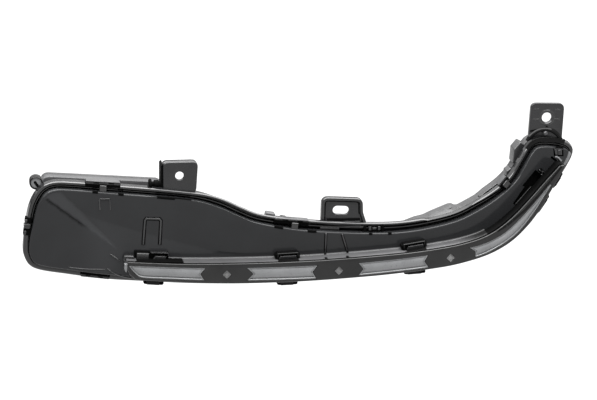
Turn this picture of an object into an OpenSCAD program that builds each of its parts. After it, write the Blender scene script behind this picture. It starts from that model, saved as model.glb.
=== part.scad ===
/* [Front bow] */
// Radius of the upright cylinder that the front of the lamp follows
bow_r = 1300; // [1000:50:2500]

/* [Rim] */
// Level of the rim's front face, counted to the rear from the left tab's face
rim_front = -3; // [-5:0.5:-2]
// Width of the rim's front face
rim_w = 4.2; // [3:0.1:5]
// Width of the lip along the rim's outer edge
lip_w = 1.4; // [1.2:0.1:2]
// Depth of the groove between that lip and the rim's inner lip
lip_depth = 5; // [3:0.5:6]
// Open groove between the rim and the front cover
groove = 2; // [1.5:0.1:2.5]
// Wall thickness of the rear housing
wall = 2.5; // [2:0.1:3]
// Level of the floor of the sealing channel
channel_floor = 9; // [8:0.5:10]
// Level of the outside of the lamp chamber's rear wall
body_back = 24; // [22:0.5:30]
// Inset of the lamp chamber from the rim's outline
body_in = 5; // [4:0.5:6]

/* [Front cover] */
// How far the cover's face stands in front of the rim
face_proud = 4; // [3:0.5:5]
// Thickness of the cover
cover_t = 2.4; // [2:0.1:3]
// How deep the cover's edge reaches into the sealing channel
cover_deep = 14; // [12:0.5:14.5]
// Height of the marks raised on the face
mark_h = 0.6; // [0.3:0.1:1]
// Width of the lines of the raised marks
mark_w = 1.6; // [1:0.1:2]

/* [Light strip] */
// How far the strip's nose stands in front of the rim
nose_proud = 19; // [16:0.5:22]
// Wall thickness of the strip's bezel
bezel_t = 2; // [1.5:0.1:2.5]
// Recess of the light bars behind the bezel's front
bar_recess = 0.5; // [0.2:0.1:0.8]
// Thickness of the light bars
bar_t = 2.4; // [2:0.1:3]
// Depth of the trough in each light bar
trough = 0.8; // [0.4:0.1:1.2]
// Width of the bevelled edge round the trough
trough_edge = 1.1; // [0.8:0.1:1.5]
// Half width of a diamond marker
marker_r = 3.4; // [2.5:0.1:4]
// Clearance between pieces that fit into each other
fit = 0.15; // [0.1:0.05:0.25]

/* [Left tab] */
// Diameter of the left tab's screw hole
left_hole_d = 6.6; // [5.5:0.1:8]
// Thickness of the left tab
left_tab_t = 3; // [2.5:0.5:4]
// Depth of the edge turned back round the left tab
tab_return = 6; // [5:0.5:8]

/* [Middle tab] */
// Length of the middle tab's slot
slot_len = 12.8; // [11:0.2:14]
// Width of the middle tab's slot
slot_w = 6.8; // [6:0.2:7.4]
// Thickness of the middle tab's panel
mid_tab_t = 3; // [2.5:0.5:4]
// How far the middle tab's border stands in front of its panel
mid_border = 2; // [1:0.5:3]

/* [Right tab] */
// Diameter of the right tab's screw hole
right_hole_d = 8; // [7:0.1:9]
// Thickness of the right tab
right_tab_t = 3.2; // [2.5:0.1:4]
// Height of the ring round the right tab's hole
hole_ring = 0.8; // [0.5:0.1:1.2]

/* [Electronics bay] */
// Distance of the bay's rear edge behind the left tab's face
bay_back = 45; // [40:1:50]
// Thickness of the bay's lid
lid_t = 3; // [2.5:0.5:4]
// Diameter of the lid screws and board screws
screw_d = 3; // [2.5:0.1:3.5]
// Thickness of the circuit boards
board_t = 1.6; // [1:0.1:2]
// Distance of the driver board behind the left tab's face
board_y = 32; // [31:0.5:34]

/* [Connector] */
// Width of the socket's cavity
socket_w = 22; // [20:0.5:26]
// Height of the socket's cavity
socket_h = 13; // [11:0.5:15]
// Wall of the socket
socket_wall = 1.8; // [1.5:0.1:2.5]
// How far the socket stands out behind the lid
socket_out = 15; // [12:0.5:18]
// Number of contact pins
pins = 4; // [2:1:6]
// Width of a contact pin
pin_w = 1.2; // [0.8:0.1:1.6]

/* [Locating boss and vent] */
// Bore of the locating boss at the upper left corner
boss_bore_d = 8; // [7:0.2:9]
// Wall of the locating boss
boss_wall = 1.8; // [1.5:0.1:2.5]
// Diameter of the vent cap
vent_d = 16; // [14:0.5:18]

/* [Hidden] */

$fn = 48;
far = 130;
face_front = rim_front - face_proud;
face_back = face_front + cover_t;
nose_front = rim_front - nose_proud;
nose_inner = nose_front + bezel_t;
cover_foot = face_front + cover_deep;
cover_in = rim_w + groove;
channel_end = cover_in + cover_t + groove;

// Outer outline of the rim, from the left end over the top and back along the bottom
RIM = [
    [-120, -50], [-118.5, -35], [-114.5, -17], [-108, -5], [-97, 0.8], [-80, 0.5], [-45, -3.5],
    [-15, -7], [14, -11.5], [33, -18], [48, -25.5], [62, -31.5], [86, -36.5], [114, -40.5],
    [145, -43.8], [170, -45.3], [192, -44.2], [216, -40.5], [233, -34], [250, -25.5],
    [262, -16], [269, -5], [275.5, 5.5], [281.5, 11], [290, 12.7], [302, 11], [313, 7.5],
    [318.3, 1.5], [317.5, -5.5], [311, -15.5], [299, -33], [286, -52], [273, -65.5],
    [255, -76.5], [232, -83], [205, -86.2], [170, -87.8], [120, -88.5], [66, -87.8],
    [15, -85.5], [-30, -81.5], [-60, -78.5], [-88, -73.8], [-107, -70.3], [-115.5, -66], [-119.5, -58]
];
// Upper edge of the light strip's front, left to right
NOSE_TOP = [
    [-43, -60], [-15, -62.3], [12.5, -64], [62.5, -65.8], [110, -66.6], [169, -66.2], [206, -64.3],
    [227, -61.5], [242, -57.2], [253, -51.2], [265, -42], [278, -29.5], [289, -18.3], [300.5, -7.2]
];
// Lower edge of the light strip's front, right to left, from the tip to the rounded left end
NOSE_LOW = [
    [303.8, -6.6], [305.2, -9.2], [300, -17], [291, -31.5], [282, -45], [272.5, -55.5], [261.5, -64.5],
    [249, -71], [236, -75.2], [219, -78.5], [202.5, -80.3], [169, -82], [137, -82.6], [90, -82.6],
    [43, -81.3], [12, -79.3], [-12, -77], [-34, -75], [-38.5, -73], [-41.3, -70], [-42.8, -66]
];
// Upper and lower edge of the band that holds the light bars
BARS_TOP = [
    [-41, -63], [16.5, -67.5], [48.5, -69], [103.5, -70.5], [136, -71], [192, -69.2], [226, -66.2],
    [239, -63.8], [253, -58.3], [265.5, -49], [278, -37], [293, -21]
];
BARS_LOW = [
    [293.5, -22.5], [287, -32], [280.5, -41.5], [270, -54], [261.5, -61.3], [249, -68.3],
    [231, -74.3], [192.5, -79], [136, -80.8], [102.5, -80.8], [48.5, -79], [15.5, -77], [-12, -74.7],
    [-30.5, -73], [-35, -71.3], [-38.5, -67.8]
];
// Ends of the four light bars as upper corner, notch and lower corner, left end then right end
BAR_ENDS = [
    [[[-50, -60], [-50, -68], [-50, -76]], [[16.5, -67.5], [12.5, -72], [15.5, -77]]],
    [[[48.5, -69], [53.5, -74], [48.5, -79]], [[103.5, -70.5], [99.5, -75.5], [102.5, -80.8]]],
    [[[136, -71], [140, -76], [136, -80.8]], [[192, -69.2], [189, -74], [192.5, -79]]],
    [[[226, -66.2], [231, -69.7], [231, -74.3]], [[300, -10], [300, -20], [300, -30]]]
];
MARKERS = [[33, -73.5], [120.5, -76], [210.5, -73]];
// Top latches of the strip, as left end, right end and height of the ledge there
TOP_LATCHES = [[-36, -9.5, -61.5], [74, 92, -65], [174, 192, -65.5]];
// Lower latches, as middle of the latch, its turn and its width
LOW_LATCHES = [
    [[-21.5, -82.5], -6, 15.5], [[82.5, -88.3], 0, 16], [[185, -87.3], 2, 17],
    [[291.2, -42.2], 56, 18], [[303.7, -23.7], 58, 14]
];
// Snaps between the cover and the rim, as place on the rim's outline, turn and width of the catch
RIM_SNAPS = [
    [[-58, -3.4], -5, 27], [[-116.4, -33], 80, 9], [[95, -39.8], -8, 17], [[156.5, -46.6], -4, 16],
    [[259.6, -17.8], 50, 11], [[-67, -75.6], 172, 24]
];
// Pad that stands out of the lamp chamber's top, and the shoulder where that top lies lower
PAD = [[188, -60], [188, -51.5], [203, -46], [217.5, -41.3], [220, -41.3], [226, -45], [236, -41.5], [236, -60]];
SHOULDER = [[14, -8], [28, -26.5], [48, -35.5], [66, -42], [68, -20]];
REAR_LUGS = [[[71.3, -37.5], [7.5, 4]], [[82, -40], [5, 3]]];
lug_depth = 7;

LEFT_TAB = [[-14.2, -20], [-13.9, 7.2], [-9.9, 11.1], [10.4, 10.4], [14.8, 6.4], [11.7, -20]];
// Centres of the slot, the right hole and the boss, each counted from a point of the rim
mid_slot = RIM[13] + [12, 6];
right_hole = RIM[24] + [5, 13.9];
boss_at = RIM[3] + [-0.3, 1.6];
// Outlines of the middle and the right tab, counted from the slot's and the hole's centre
MID_TAB = [[-16, -11.5], [-15, 5.5], [-9.5, 11], [12, 9], [17, 3.5], [17, -3], [21.5, -15.5]];
RIGHT_TAB = [[-15, -21.6], [-12.6, 8.3], [-8.6, 12.1], [9.5, 10.6], [14, 6.2], [12.3, -21.6]];
tab_round = 4.5;
tab_border = 2.4;
slot_turn = -4;
foot_r = 15.5;
foot_out = 1.6;
foot_depth = 12;
ring_w = 1.9;
tab_rib_h = 0.5;
tab_rib_x = 9;
TAB_RIB = [4, 1.4];
foot_at = [-2, -24.4];
boss_y = 8;
boss_len = 9;
mid_tab_y = 6;
right_tab_y = 35;

BAY = [[-103, -4.6], [-9, -13.2], [-9, -67], [-103, -61.5]];
bay_round = 6;
BAY_SCREWS = [[-95, -14], [-17, -21], [-17, -59.5], [-95, -54]];
BOARD_SCREWS = [[-80, -17], [-30, -22], [-30, -55], [-80, -50]];
socket_at = [-72, -46];
vent_at = [40, -52];
stub_at = [-22.5, -6.6];
stub_y = 4;
stub_r = 4;
stub_len = 10;
stub_collar = 1.8;
stub_step = 0.8;
lead_x = -20;
lead_z = -50;
lead_w = 5;
lead_t = 0.8;
post_r = screw_d / 2 + 2.2;
carrier_post_r = screw_d / 2 + 1.6;
screw_play = 0.05;
hole_play = 0.2;
seat_gap = 0.1;
catch_set = 1.5;
catch_depth = 8;
catch_up = 0.6;
catch_h = 4.4;
TONGUE = [6, 9];
tongue_at = [-1, -3.5];
tongue_set = 1.2;
rib_first = 22;
rib_last = 252;
rib_step = 34;
rib_turn = 8;
rib_w = 2;
rib_h = 3;
inner_lip = 0.8;
latch_out = 1.4;
latch_reach = 10;
latch_hook = 7;
block_h = 5;
block_play = 1;
block_out = 4;
bar_foot = 1.4;
flange = 2;
guide_back = 1.2;
carrier_front = 5;
carrier_back = carrier_front + 2;
board_front = carrier_front - seat_gap - board_t;
carrier_screw_len = 8;
CARRIER_POSTS = [[-28, -67.7], [60, -73.2], [150, -73.4], [232, -67.6], [270, -46.8]];

// Curves and outlines

function smooth(a, b, c, d, t) =
    0.5 * (2 * b + (c - a) * t + (2 * a - 5 * b + 4 * c - d) * t * t + (3 * b - a - 3 * c + d) * t * t * t);
function closed_curve(p, steps) =
    let (n = len(p))
    [for (i = [0:n - 1]) for (k = [0:steps - 1])
        smooth(p[(i + n - 1) % n], p[i], p[(i + 1) % n], p[(i + 2) % n], k / steps)];
function open_curve(p, steps) =
    let (n = len(p))
    concat([for (i = [0:n - 2]) for (k = [0:steps - 1])
        smooth(p[max(i - 1, 0)], p[i], p[i + 1], p[min(i + 2, n - 1)], k / steps)], [p[n - 1]]);
function bow(x) = bow_r - sqrt(bow_r * bow_r - x * x);
spigot_r = vent_d / 2 - 2;
spigot_h = 6;
vent_y = bow(vent_at[0]) + body_back + spigot_h;

module rim(grow = 0) offset(delta = grow) polygon(closed_curve(RIM, 3));
module nose(grow = 0) offset(delta = grow) polygon(concat(open_curve(NOSE_TOP, 3), open_curve(NOSE_LOW, 3)));
module bars_band() polygon(concat(open_curve(BARS_TOP, 3), open_curve(BARS_LOW, 3)));
module bar_outline(i, grow = 0) {
    l = BAR_ENDS[i][0];
    r = BAR_ENDS[i][1];
    offset(delta = grow) intersection() {
        bars_band();
        polygon([l[0] + [0, 9], l[0], l[1], l[2], l[2] - [0, 9], r[2] - [0, 9], r[2], r[1], r[0], r[0] + [0, 9]]);
    }
}
module marker_outline(i, grow = 0) translate(MARKERS[i]) rotate(45) square(marker_r * sqrt(2) + 2 * grow, center = true);
module rounded(p, r) offset(r = r) offset(delta = -r) polygon(p);
module ring(wall_t) difference() {
    children();
    offset(delta = -wall_t) children();
}

// Solids made from outlines in the front view

module straight(front, back) translate([0, back, 0]) rotate([90, 0, 0]) linear_extrude(height = back - front) children();
module bowed(front, back) intersection() {
    straight(nose_front - 4, far) children();
    translate([0, bow_r, -far]) difference() {
        cylinder(h = 2 * far, r = bow_r - front, $fn = 256);
        translate([0, 0, -1]) cylinder(h = 2 * far + 2, r = bow_r - back, $fn = 256);
    }
}
module rod(at, r, front, back) translate([at[0], back, at[1]]) rotate([90, 0, 0]) cylinder(h = back - front, r = r);
module turned(at, turn) translate(at) rotate(turn) children();

// Windows of the inner cover behind the strip

module window_outline(grow = 0) offset(delta = grow) intersection() {
    nose(-3.2);
    rim(-(cover_in + cover_t + 2.2));
}

// Rear housing with its tabs

module left_tab() {
    difference() {
        union() {
            straight(0, left_tab_t) rounded(LEFT_TAB, tab_round);
            straight(0, tab_return) ring(tab_border) rounded(LEFT_TAB, tab_round);
        }
        rod([0, 0], left_hole_d / 2, -1, left_tab_t + 1);
    }
}
module mid_tab() difference() {
    panel_back = mid_tab_y + mid_border + mid_tab_t;
    union() {
        straight(mid_tab_y + mid_border, panel_back) translate(mid_slot) rounded(MID_TAB, tab_round);
        straight(mid_tab_y, panel_back) ring(tab_border) translate(mid_slot) rounded(MID_TAB, tab_round);
    }
    straight(mid_tab_y - 1, panel_back + 1) turned(mid_slot, slot_turn) slot_outline();
}
module slot_outline() {
    run = slot_len - slot_w;
    square([run, slot_w], center = true);
    for (side = [-1, 1]) translate([side * run / 2, 0]) circle(d = slot_w);
}
module right_tab() difference() {
    union() {
        straight(right_tab_y, right_tab_y + right_tab_t) translate(right_hole) rounded(RIGHT_TAB, tab_round);
        rod(right_hole, right_hole_d / 2 + ring_w, right_tab_y - hole_ring, right_tab_y + 1);
        straight(right_tab_y - foot_out, right_tab_y + foot_depth) translate(right_hole) intersection() {
            rounded(RIGHT_TAB, tab_round);
            translate(foot_at) circle(r = foot_r);
        }
        for (side = [-1, 1]) straight(right_tab_y - tab_rib_h, right_tab_y + 1)
            turned(right_hole + [side * tab_rib_x, -1], -5) square(TAB_RIB, center = true);
    }
    rod(right_hole, right_hole_d / 2, right_tab_y - hole_ring - 1, right_tab_y + right_tab_t + 1);
}
module locating_boss() rod(boss_at, boss_bore_d / 2 + boss_wall, boss_y, boss_y + boss_len);
module stub() translate([stub_at[0], stub_y, stub_at[1]]) rotate([0, 90, 0]) {
    cylinder(h = stub_len, r = stub_r);
    cylinder(h = stub_collar, r = stub_r + stub_step);
}
module chamber() {
    difference() {
        rim(-body_in);
        polygon(SHOULDER);
    }
    polygon(PAD);
}
module rear_lugs() for (b = REAR_LUGS) bowed(channel_floor, channel_floor + lug_depth)
    translate(b[0]) square(b[1], center = true);
module bay(grow = 0) offset(delta = grow) rounded(BAY, bay_round);
module rim_catches() for (s = RIM_SNAPS) bowed(rim_front + catch_set, rim_front + catch_depth)
    turned(s[0], s[1]) translate([0, catch_up]) square([s[2], catch_h], center = true);
module ribs() bowed(body_back - 1, body_back + rib_h) intersection() {
    chamber();
    for (x = [rib_first:rib_step:rib_last]) turned([x, 0], rib_turn) square([rib_w, 2 * far], center = true);
}
module carrier_posts() bowed(carrier_back + seat_gap, body_back - 1) for (p = CARRIER_POSTS)
    translate(p) circle(r = carrier_post_r);

module rear_housing() color([0.2, 0.2, 0.21]) difference() {
    union() {
        bowed(rim_front, channel_floor + wall) ring(rim_w) rim();
        bowed(channel_floor, channel_floor + wall) ring(channel_end + wall) rim();
        bowed(channel_floor + 1, body_back) ring(wall) chamber();
        bowed(body_back - wall, body_back) chamber();
        straight(body_back - wall + 1, bay_back) ring(wall) bay();
        for (p = BAY_SCREWS) rod(p, post_r, body_back, bay_back);
        for (p = BOARD_SCREWS) rod(p, post_r, body_back - 1, board_y - seat_gap);
        difference() {
            union() {
                left_tab();
                mid_tab();
                right_tab();
                stub();
                rear_lugs();
                locating_boss();
            }
            straight(nose_front, far / 2) rim(1 - rim_w);
        }
        rim_catches();
        ribs();
        carrier_posts();
        rod(vent_at, spigot_r, vent_y - spigot_h - 1, vent_y);
    }
    bowed(rim_front - 1, rim_front + lip_depth) difference() {
        rim(-lip_w);
        rim(inner_lip - rim_w);
    }
    rod(boss_at, boss_bore_d / 2, boss_y - 1, boss_y + boss_len + 1);
    rod(vent_at, spigot_r - 2, body_back - 6, far);
    for (p = BAY_SCREWS) rod(p, screw_d / 2 + screw_play, bay_back - 10, bay_back + 1);
    for (p = BOARD_SCREWS) rod(p, screw_d / 2 + screw_play, board_y - 6, board_y + 1);
    for (p = CARRIER_POSTS)
        rod(p, screw_d / 2 + screw_play, bow(p[0]) + carrier_back - 2, bow(p[0]) + carrier_back + carrier_screw_len + 1);
    straight(body_back - 8, body_back + 4) translate([lead_x, lead_z]) square([lead_w + 2, 6], center = true);
}

// Sealing bead in the channel

module sealing_bead() color([0.15, 0.15, 0.15])
    bowed(cover_foot + 0.05, channel_floor - 0.05) difference() {
        rim(-(rim_w + fit));
        rim(-(channel_end - fit));
    }

// Front cover

module latch_block(l) {
    translate([(l[0] + l[1]) / 2, l[2] + block_h / 2]) square([l[1] - l[0] - 2 * block_play, block_h], center = true);
}
module cover_marks() {
    translate([-58, -18.5]) ring(mark_w / 2) square([8.6, 9], center = true);
    translate([-22, -41]) rotate(-2) difference() {
        square([16, 22], center = true);
        translate([0, -mark_w]) square([16 - 2 * mark_w, 22], center = true);
    }
    translate([112.2, -57.6]) rotate(-2) square([mark_w, 16], center = true);
    translate([127.7, -58.8]) rotate(16) square([mark_w, 14], center = true);
}
module face_notches() {
    for (x = [-67.5, -48.5]) turned([x, -8 - (x + 67.5) * 0.07], -5) square([5, 3], center = true);
    for (x = [78.5, 98.5]) turned([x, -44.5 - (x - 78.5) * 0.11], -8) square([6, 3], center = true);
    turned([-5.5, -15.8], -9) square([28, 4.4], center = true);
}
module arm_recess() polygon([[283.5, -12.5], [273, -24.5], [284.5, -26], [290, -19]]);
module front_cover() color([0.1, 0.1, 0.11]) difference() {
    union() {
        bowed(face_front, face_back) rim(-cover_in);
        bowed(face_front, cover_foot) ring(cover_t) rim(-cover_in);
        bowed(face_front - mark_h, face_front + 0.5) cover_marks();
        for (l = TOP_LATCHES) bowed(face_front - block_out, face_front + 0.5) latch_block(l);
        for (s = RIM_SNAPS) bowed(face_front + tongue_set, rim_front - seat_gap)
            turned(s[0], s[1]) translate(tongue_at) square(TONGUE, center = true);
    }
    bowed(face_front - 1, face_front + 1.6) face_notches();
    bowed(face_front - 1, face_back + 1) window_outline();
    bowed(face_front - 1, face_front + 1.6) arm_recess();
}
module window_lens() color([0.8, 0.82, 0.85, 0.5])
    bowed(face_front + 0.2, face_back) window_outline(-fit);

// Light strip

module latch_box(l, front, back, reach) straight(bow(l[0][0]) + front, bow(l[0][0]) + back)
    turned(l[0], l[1]) translate([-l[2] / 2, -latch_out]) square([l[2], latch_out + reach]);
module low_latches() difference() {
    for (l = LOW_LATCHES) {
        latch_box(l, face_front - 1, rim_front, latch_reach);
        latch_box(l, rim_front - 1, rim_front + latch_hook, 1);
    }
    bowed(rim_front - seat_gap, rim_front + 12) rim(2 * fit);
    bowed(face_front - seat_gap, rim_front + 1) rim(2 * fit - cover_in);
    bowed(nose_inner, face_front + 1) nose(0.6 - bezel_t);
}
module strip_bezel() color([0.12, 0.12, 0.13]) difference() {
    union() {
        bowed(nose_front, nose_inner) nose();
        bowed(nose_front, face_front - seat_gap) ring(bezel_t) nose();
        low_latches();
    }
    for (i = [0:3]) bowed(nose_front - 1, nose_inner + 1) bar_outline(i);
    for (i = [0:2]) bowed(nose_front - 1, nose_inner + 1) marker_outline(i);
    for (l = TOP_LATCHES) bowed(face_front - block_out - 2 * fit, face_front + 1)
        translate([(l[0] + l[1]) / 2, l[2]]) square([l[1] - l[0] - 2 * (block_play - fit), 2 * (block_h + 1)], center = true);
}
module light_bar(i) color([0.62, 0.63, 0.64]) {
    bar_front = nose_front + bar_recess;
    difference() {
        union() {
            bowed(bar_front, bar_front + bar_t) bar_outline(i, -fit);
            bowed(nose_inner + seat_gap, nose_inner + bar_foot) intersection() {
                bar_outline(i, 1);
                nose(-bezel_t - fit);
            }
        }
        bowed(bar_front - 1, bar_front + trough) bar_outline(i, -fit - trough_edge);
    }
}
module marker(i) color([0.6, 0.6, 0.6]) {
    bowed(nose_front + bar_recess, nose_front + bar_recess + bar_t) marker_outline(i, -fit);
    bowed(nose_inner + seat_gap, nose_inner + bar_foot) intersection() {
        marker_outline(i, 1);
        nose(-bezel_t - fit);
    }
}

// Lighting inside

module light_guide() color([0.85, 0.88, 0.9, 0.6]) bowed(face_back + 0.3, guide_back) window_outline(-0.8);
module led_carrier() color([0.9, 0.9, 0.88]) difference() {
    union() {
        bowed(carrier_front, carrier_back) window_outline(1.2);
        bowed(face_back + 0.3, carrier_front + 1) difference() {
            window_outline(1.2);
            window_outline(-0.5);
        }
    }
    for (p = CARRIER_POSTS) rod(p, screw_d / 2 + hole_play, -20, bow(p[0]) + 20);
}
LED_BOARDS = [[-40, 108], [112, 205], [209, 285]];
module led_board(i) color([0.75, 0.77, 0.78]) difference() {
    bowed(board_front, carrier_front - seat_gap) intersection() {
        window_outline(-0.8);
        translate([LED_BOARDS[i][0], -90]) square([LED_BOARDS[i][1] - LED_BOARDS[i][0], 90]);
    }
    for (p = CARRIER_POSTS) rod(p, screw_d / 2 + hole_play, -20, bow(p[0]) + 20);
}
LED_SPOTS = [for (x = [-18:12:54]) [x, -67.6 - (x + 30) * 0.064], for (x = [66:12:102]) [x, -73.5],
    for (x = [120:12:192]) [x, -73.6 + max(0, x - 160) * 0.043],
    [216, -70.3], [224, -68.9], [240, -65.5], [250, -61.6], [262, -53.6], [278, -38.8]];
led_size = 3;
led_t = 0.7;
module leds() color([0.95, 0.9, 0.6]) for (p = LED_SPOTS)
    translate([p[0], bow(p[0]) + board_front - led_t / 2 - seat_gap, p[1]]) rotate([0, 0, asin(p[0] / bow_r)])
        cube([led_size, led_t, led_size], center = true);
module carrier_screws() color([0.6, 0.6, 0.62]) for (p = CARRIER_POSTS) {
    y = bow(p[0]) + board_front;
    rod(p, screw_d / 2, y - 0.8, y + board_t + carrier_screw_len);
    rod(p, screw_d - 0.7, y - 1.3, y - 0.7);
}
module board_lead() color([0.85, 0.85, 0.82]) {
    bowed(carrier_back + seat_gap, carrier_back + seat_gap + lead_t)
        translate([lead_x - lead_w / 2, lead_z - 20]) square([lead_w, 20 + lead_t]);
    straight(carrier_back + seat_gap + lead_t / 2, board_y - seat_gap)
        translate([lead_x, lead_z]) square([lead_w, lead_t], center = true);
}

// Electronics bay

module driver_board() color([0.1, 0.35, 0.2]) difference() {
    straight(board_y, board_y + board_t) bay(-8);
    for (p = BOARD_SCREWS) rod(p, screw_d / 2 + hole_play, board_y - 1, board_y + board_t + 1);
    for (p = BAY_SCREWS) rod(p, post_r + 1, board_y - 1, board_y + board_t + 1);
}
DRIVER_PARTS = [[[-52, -30], [12, 12], 7], [[-45, -48], [9, 9], 1.8], [[-28, -38], [5, 8], 5], [[-64, -28], [6, 5], 2]];
module driver_parts() color([0.2, 0.2, 0.22]) for (c = DRIVER_PARTS)
    straight(board_y + board_t + 0.05, board_y + board_t + c[2]) translate(c[0]) square(c[1], center = true);
module board_screws() color([0.6, 0.6, 0.62]) for (p = BOARD_SCREWS) {
    rod(p, screw_d / 2, board_y - 5, board_y + board_t + 0.5);
    rod(p, screw_d - 0.3, board_y + board_t + 0.05, board_y + board_t + 1.8);
}
module rear_lid() color([0.16, 0.16, 0.17]) difference() {
    union() {
        straight(bay_back + 1, bay_back + lid_t) bay();
        straight(bay_back + 1, bay_back + lid_t + 1.6) ring(2.4) bay(-12);
        for (x = [-50:8:-26]) straight(bay_back + 1, bay_back + lid_t + 3) translate([x, -36]) square([1.8, 24], center = true);
    }
    for (p = BAY_SCREWS) rod(p, screw_d / 2 + hole_play, bay_back - 1, bay_back + lid_t + 2);
    straight(bay_back - 1, bay_back + lid_t + 1) translate(socket_at)
        square([socket_w + 2 * socket_wall + 2 * fit, socket_h + 2 * socket_wall + 2 * fit], center = true);
    straight(bay_back + lid_t, bay_back + 9) socket_outline(socket_wall + flange + fit);
}
module lid_gasket() color([0.1, 0.1, 0.1]) difference() {
    straight(bay_back + 0.05, bay_back + 0.95) ring(wall) bay();
    for (p = BAY_SCREWS) rod(p, screw_d / 2 + hole_play, bay_back - 1, bay_back + 2);
}
module lid_screws() color([0.65, 0.65, 0.67]) for (p = BAY_SCREWS) difference() {
    union() {
        rod(p, screw_d / 2, bay_back - 8, bay_back + lid_t + 0.5);
        rod(p, screw_d, bay_back + lid_t + 0.05, bay_back + lid_t + 2.4);
    }
    rod(p, screw_d / 2 - 0.3, bay_back + lid_t + 1, bay_back + lid_t + 3);
}
module socket_outline(grow = 0) translate(socket_at) offset(r = 1.5) offset(delta = grow - 1.5)
    square([socket_w, socket_h], center = true);
module connector_socket() color([0.12, 0.12, 0.12]) {
    top = bay_back + lid_t;
    straight(top - 7, top + socket_out) difference() {
        socket_outline(socket_wall);
        socket_outline();
    }
    difference() {
        straight(top - 7, top - 4) socket_outline(socket_wall);
        pin_row(fit / 3, top - 8, top - 3);
    }
    straight(top + 0.1, top + 1.9) difference() {
        socket_outline(socket_wall + flange);
        socket_outline(socket_wall - 0.3);
    }
    for (side = [-1, 1]) straight(top + 4, top + 11) translate(socket_at + [side * 5, socket_h / 2 + socket_wall + 0.6])
        square([1.6, 2], center = true);
}
module pin_row(grow, front, back) for (i = [0:pins - 1]) straight(front, back)
    translate(socket_at + [(i - (pins - 1) / 2) * socket_w / pins, 0]) square(pin_w + 2 * grow, center = true);
module contact_pins() color([0.8, 0.7, 0.4]) pin_row(0, board_y + board_t + 0.05, bay_back + lid_t + 5);

// Vent

module vent_spigot_cap() color([0.13, 0.13, 0.14]) {
    difference() {
        rod(vent_at, vent_d / 2, vent_y - 3.5, vent_y + 2.5);
        rod(vent_at, spigot_r + seat_gap, vent_y - 4, vent_y + 0.6);
    }
    rod(vent_at, spigot_r - 1, vent_y + 2, vent_y + 3.3);
}
module vent_membrane() color([0.95, 0.95, 0.95]) rod(vent_at, spigot_r - 0.4, vent_y + 0.05, vent_y + 0.5);

rear_housing();
sealing_bead();
front_cover();
window_lens();
strip_bezel();
light_bar(0);  // light_bar_1
light_bar(1);  // light_bar_2
light_bar(2);  // light_bar_3
light_bar(3);  // light_bar_4
marker(0);  // marker_1
marker(1);  // marker_2
marker(2);  // marker_3
light_guide();
led_carrier();
led_board(0);  // led_board_1
led_board(1);  // led_board_2
led_board(2);  // led_board_3
leds();
carrier_screws();
board_lead();
driver_board();
driver_parts();
board_screws();
rear_lid();
lid_gasket();
lid_screws();
connector_socket();
contact_pins();
vent_spigot_cap();
vent_membrane();
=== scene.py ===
"""Looks of the daytime running light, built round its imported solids.

Outlines are (x, z) points in millimetres in the front view. A level counts millimetres to the rear from the
left tab's face, on the upright cylinder that the lamp's front follows.
"""
import math

import bmesh
import bpy
import numpy as np
from mathutils import Matrix, Vector, geometry


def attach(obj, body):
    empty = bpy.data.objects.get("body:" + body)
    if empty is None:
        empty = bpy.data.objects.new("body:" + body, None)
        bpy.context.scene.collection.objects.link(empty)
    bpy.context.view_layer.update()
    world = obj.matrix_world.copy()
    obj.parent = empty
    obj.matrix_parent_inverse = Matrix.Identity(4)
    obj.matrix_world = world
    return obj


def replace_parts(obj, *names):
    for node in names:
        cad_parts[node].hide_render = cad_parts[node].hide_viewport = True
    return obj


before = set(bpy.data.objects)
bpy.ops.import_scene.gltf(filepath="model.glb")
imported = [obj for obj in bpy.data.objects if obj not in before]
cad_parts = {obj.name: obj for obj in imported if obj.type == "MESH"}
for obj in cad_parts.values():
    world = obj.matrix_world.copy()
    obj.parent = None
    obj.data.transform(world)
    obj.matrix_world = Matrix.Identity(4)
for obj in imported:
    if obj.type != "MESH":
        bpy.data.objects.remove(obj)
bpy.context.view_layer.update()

# Driving outlines and places, measured from the left tab's hole

BOW_R = 1300.0  # radius of the cylinder that the lamp's front follows
COVER_LEVEL, STRIP_LEVEL, BODY_BACK = -7.0, -22, 24
LEFT_HOLE_R, RIGHT_HOLE_R, SLOT_R = 3.3, 4, 3.4
MIDDLE_SLOT, RIGHT_HOLE, BOSS, SPIGOT = (126, -34.5), (295, 26.6), (-108.3, -3.4), (40, -52)
RIM = [
    (-120, -50), (-119, -35), (-115.6, -18), (-108, -5), (-97, 0.8), (-80, 0.5), (-45, -3.5),
    (-15, -7), (14, -11.5), (33, -18), (48, -25.5), (62, -31.5), (86, -36.5), (114, -40.5),
    (145, -43.8), (170, -45.3), (192, -44.2), (216, -40.5), (233, -34), (250, -25.5),
    (262, -16), (269, -5), (275.5, 5.5), (281.5, 11), (290, 12.7), (302, 11), (313, 7.5),
    (318.3, 1.5), (317.5, -5.5), (311, -15.5), (299, -33), (286, -52), (273, -65.5),
    (255, -76.5), (232, -83), (205, -86.2), (170, -87.8), (120, -88.5), (66, -87.8),
    (15, -85.5), (-30, -81.5), (-60, -78.5), (-88, -73.8), (-107, -70.3), (-115.5, -66), (-119.5, -58),
]
NOSE_TOP = [
    (-43, -60), (-15, -62.3), (12.5, -64), (62.5, -65.8), (110, -66.6), (169, -66.2), (206, -64.3),
    (227, -61.5), (242, -57.2), (253, -51.2), (265, -42), (278, -29.5), (289, -18.3), (300.5, -7.2),
]
NOSE_LOW = [
    (303.8, -6.6), (305.2, -9.2), (300, -17), (291, -31.5), (282, -45), (272.5, -55.5), (261.5, -64.5),
    (249, -71), (236, -75.2), (219, -78.5), (202.5, -80.3), (169, -82), (137, -82.6), (90, -82.6),
    (43, -81.3), (12, -79.3), (-12, -77), (-34, -75), (-38.5, -73), (-41.3, -70), (-42.8, -66),
]
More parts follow.
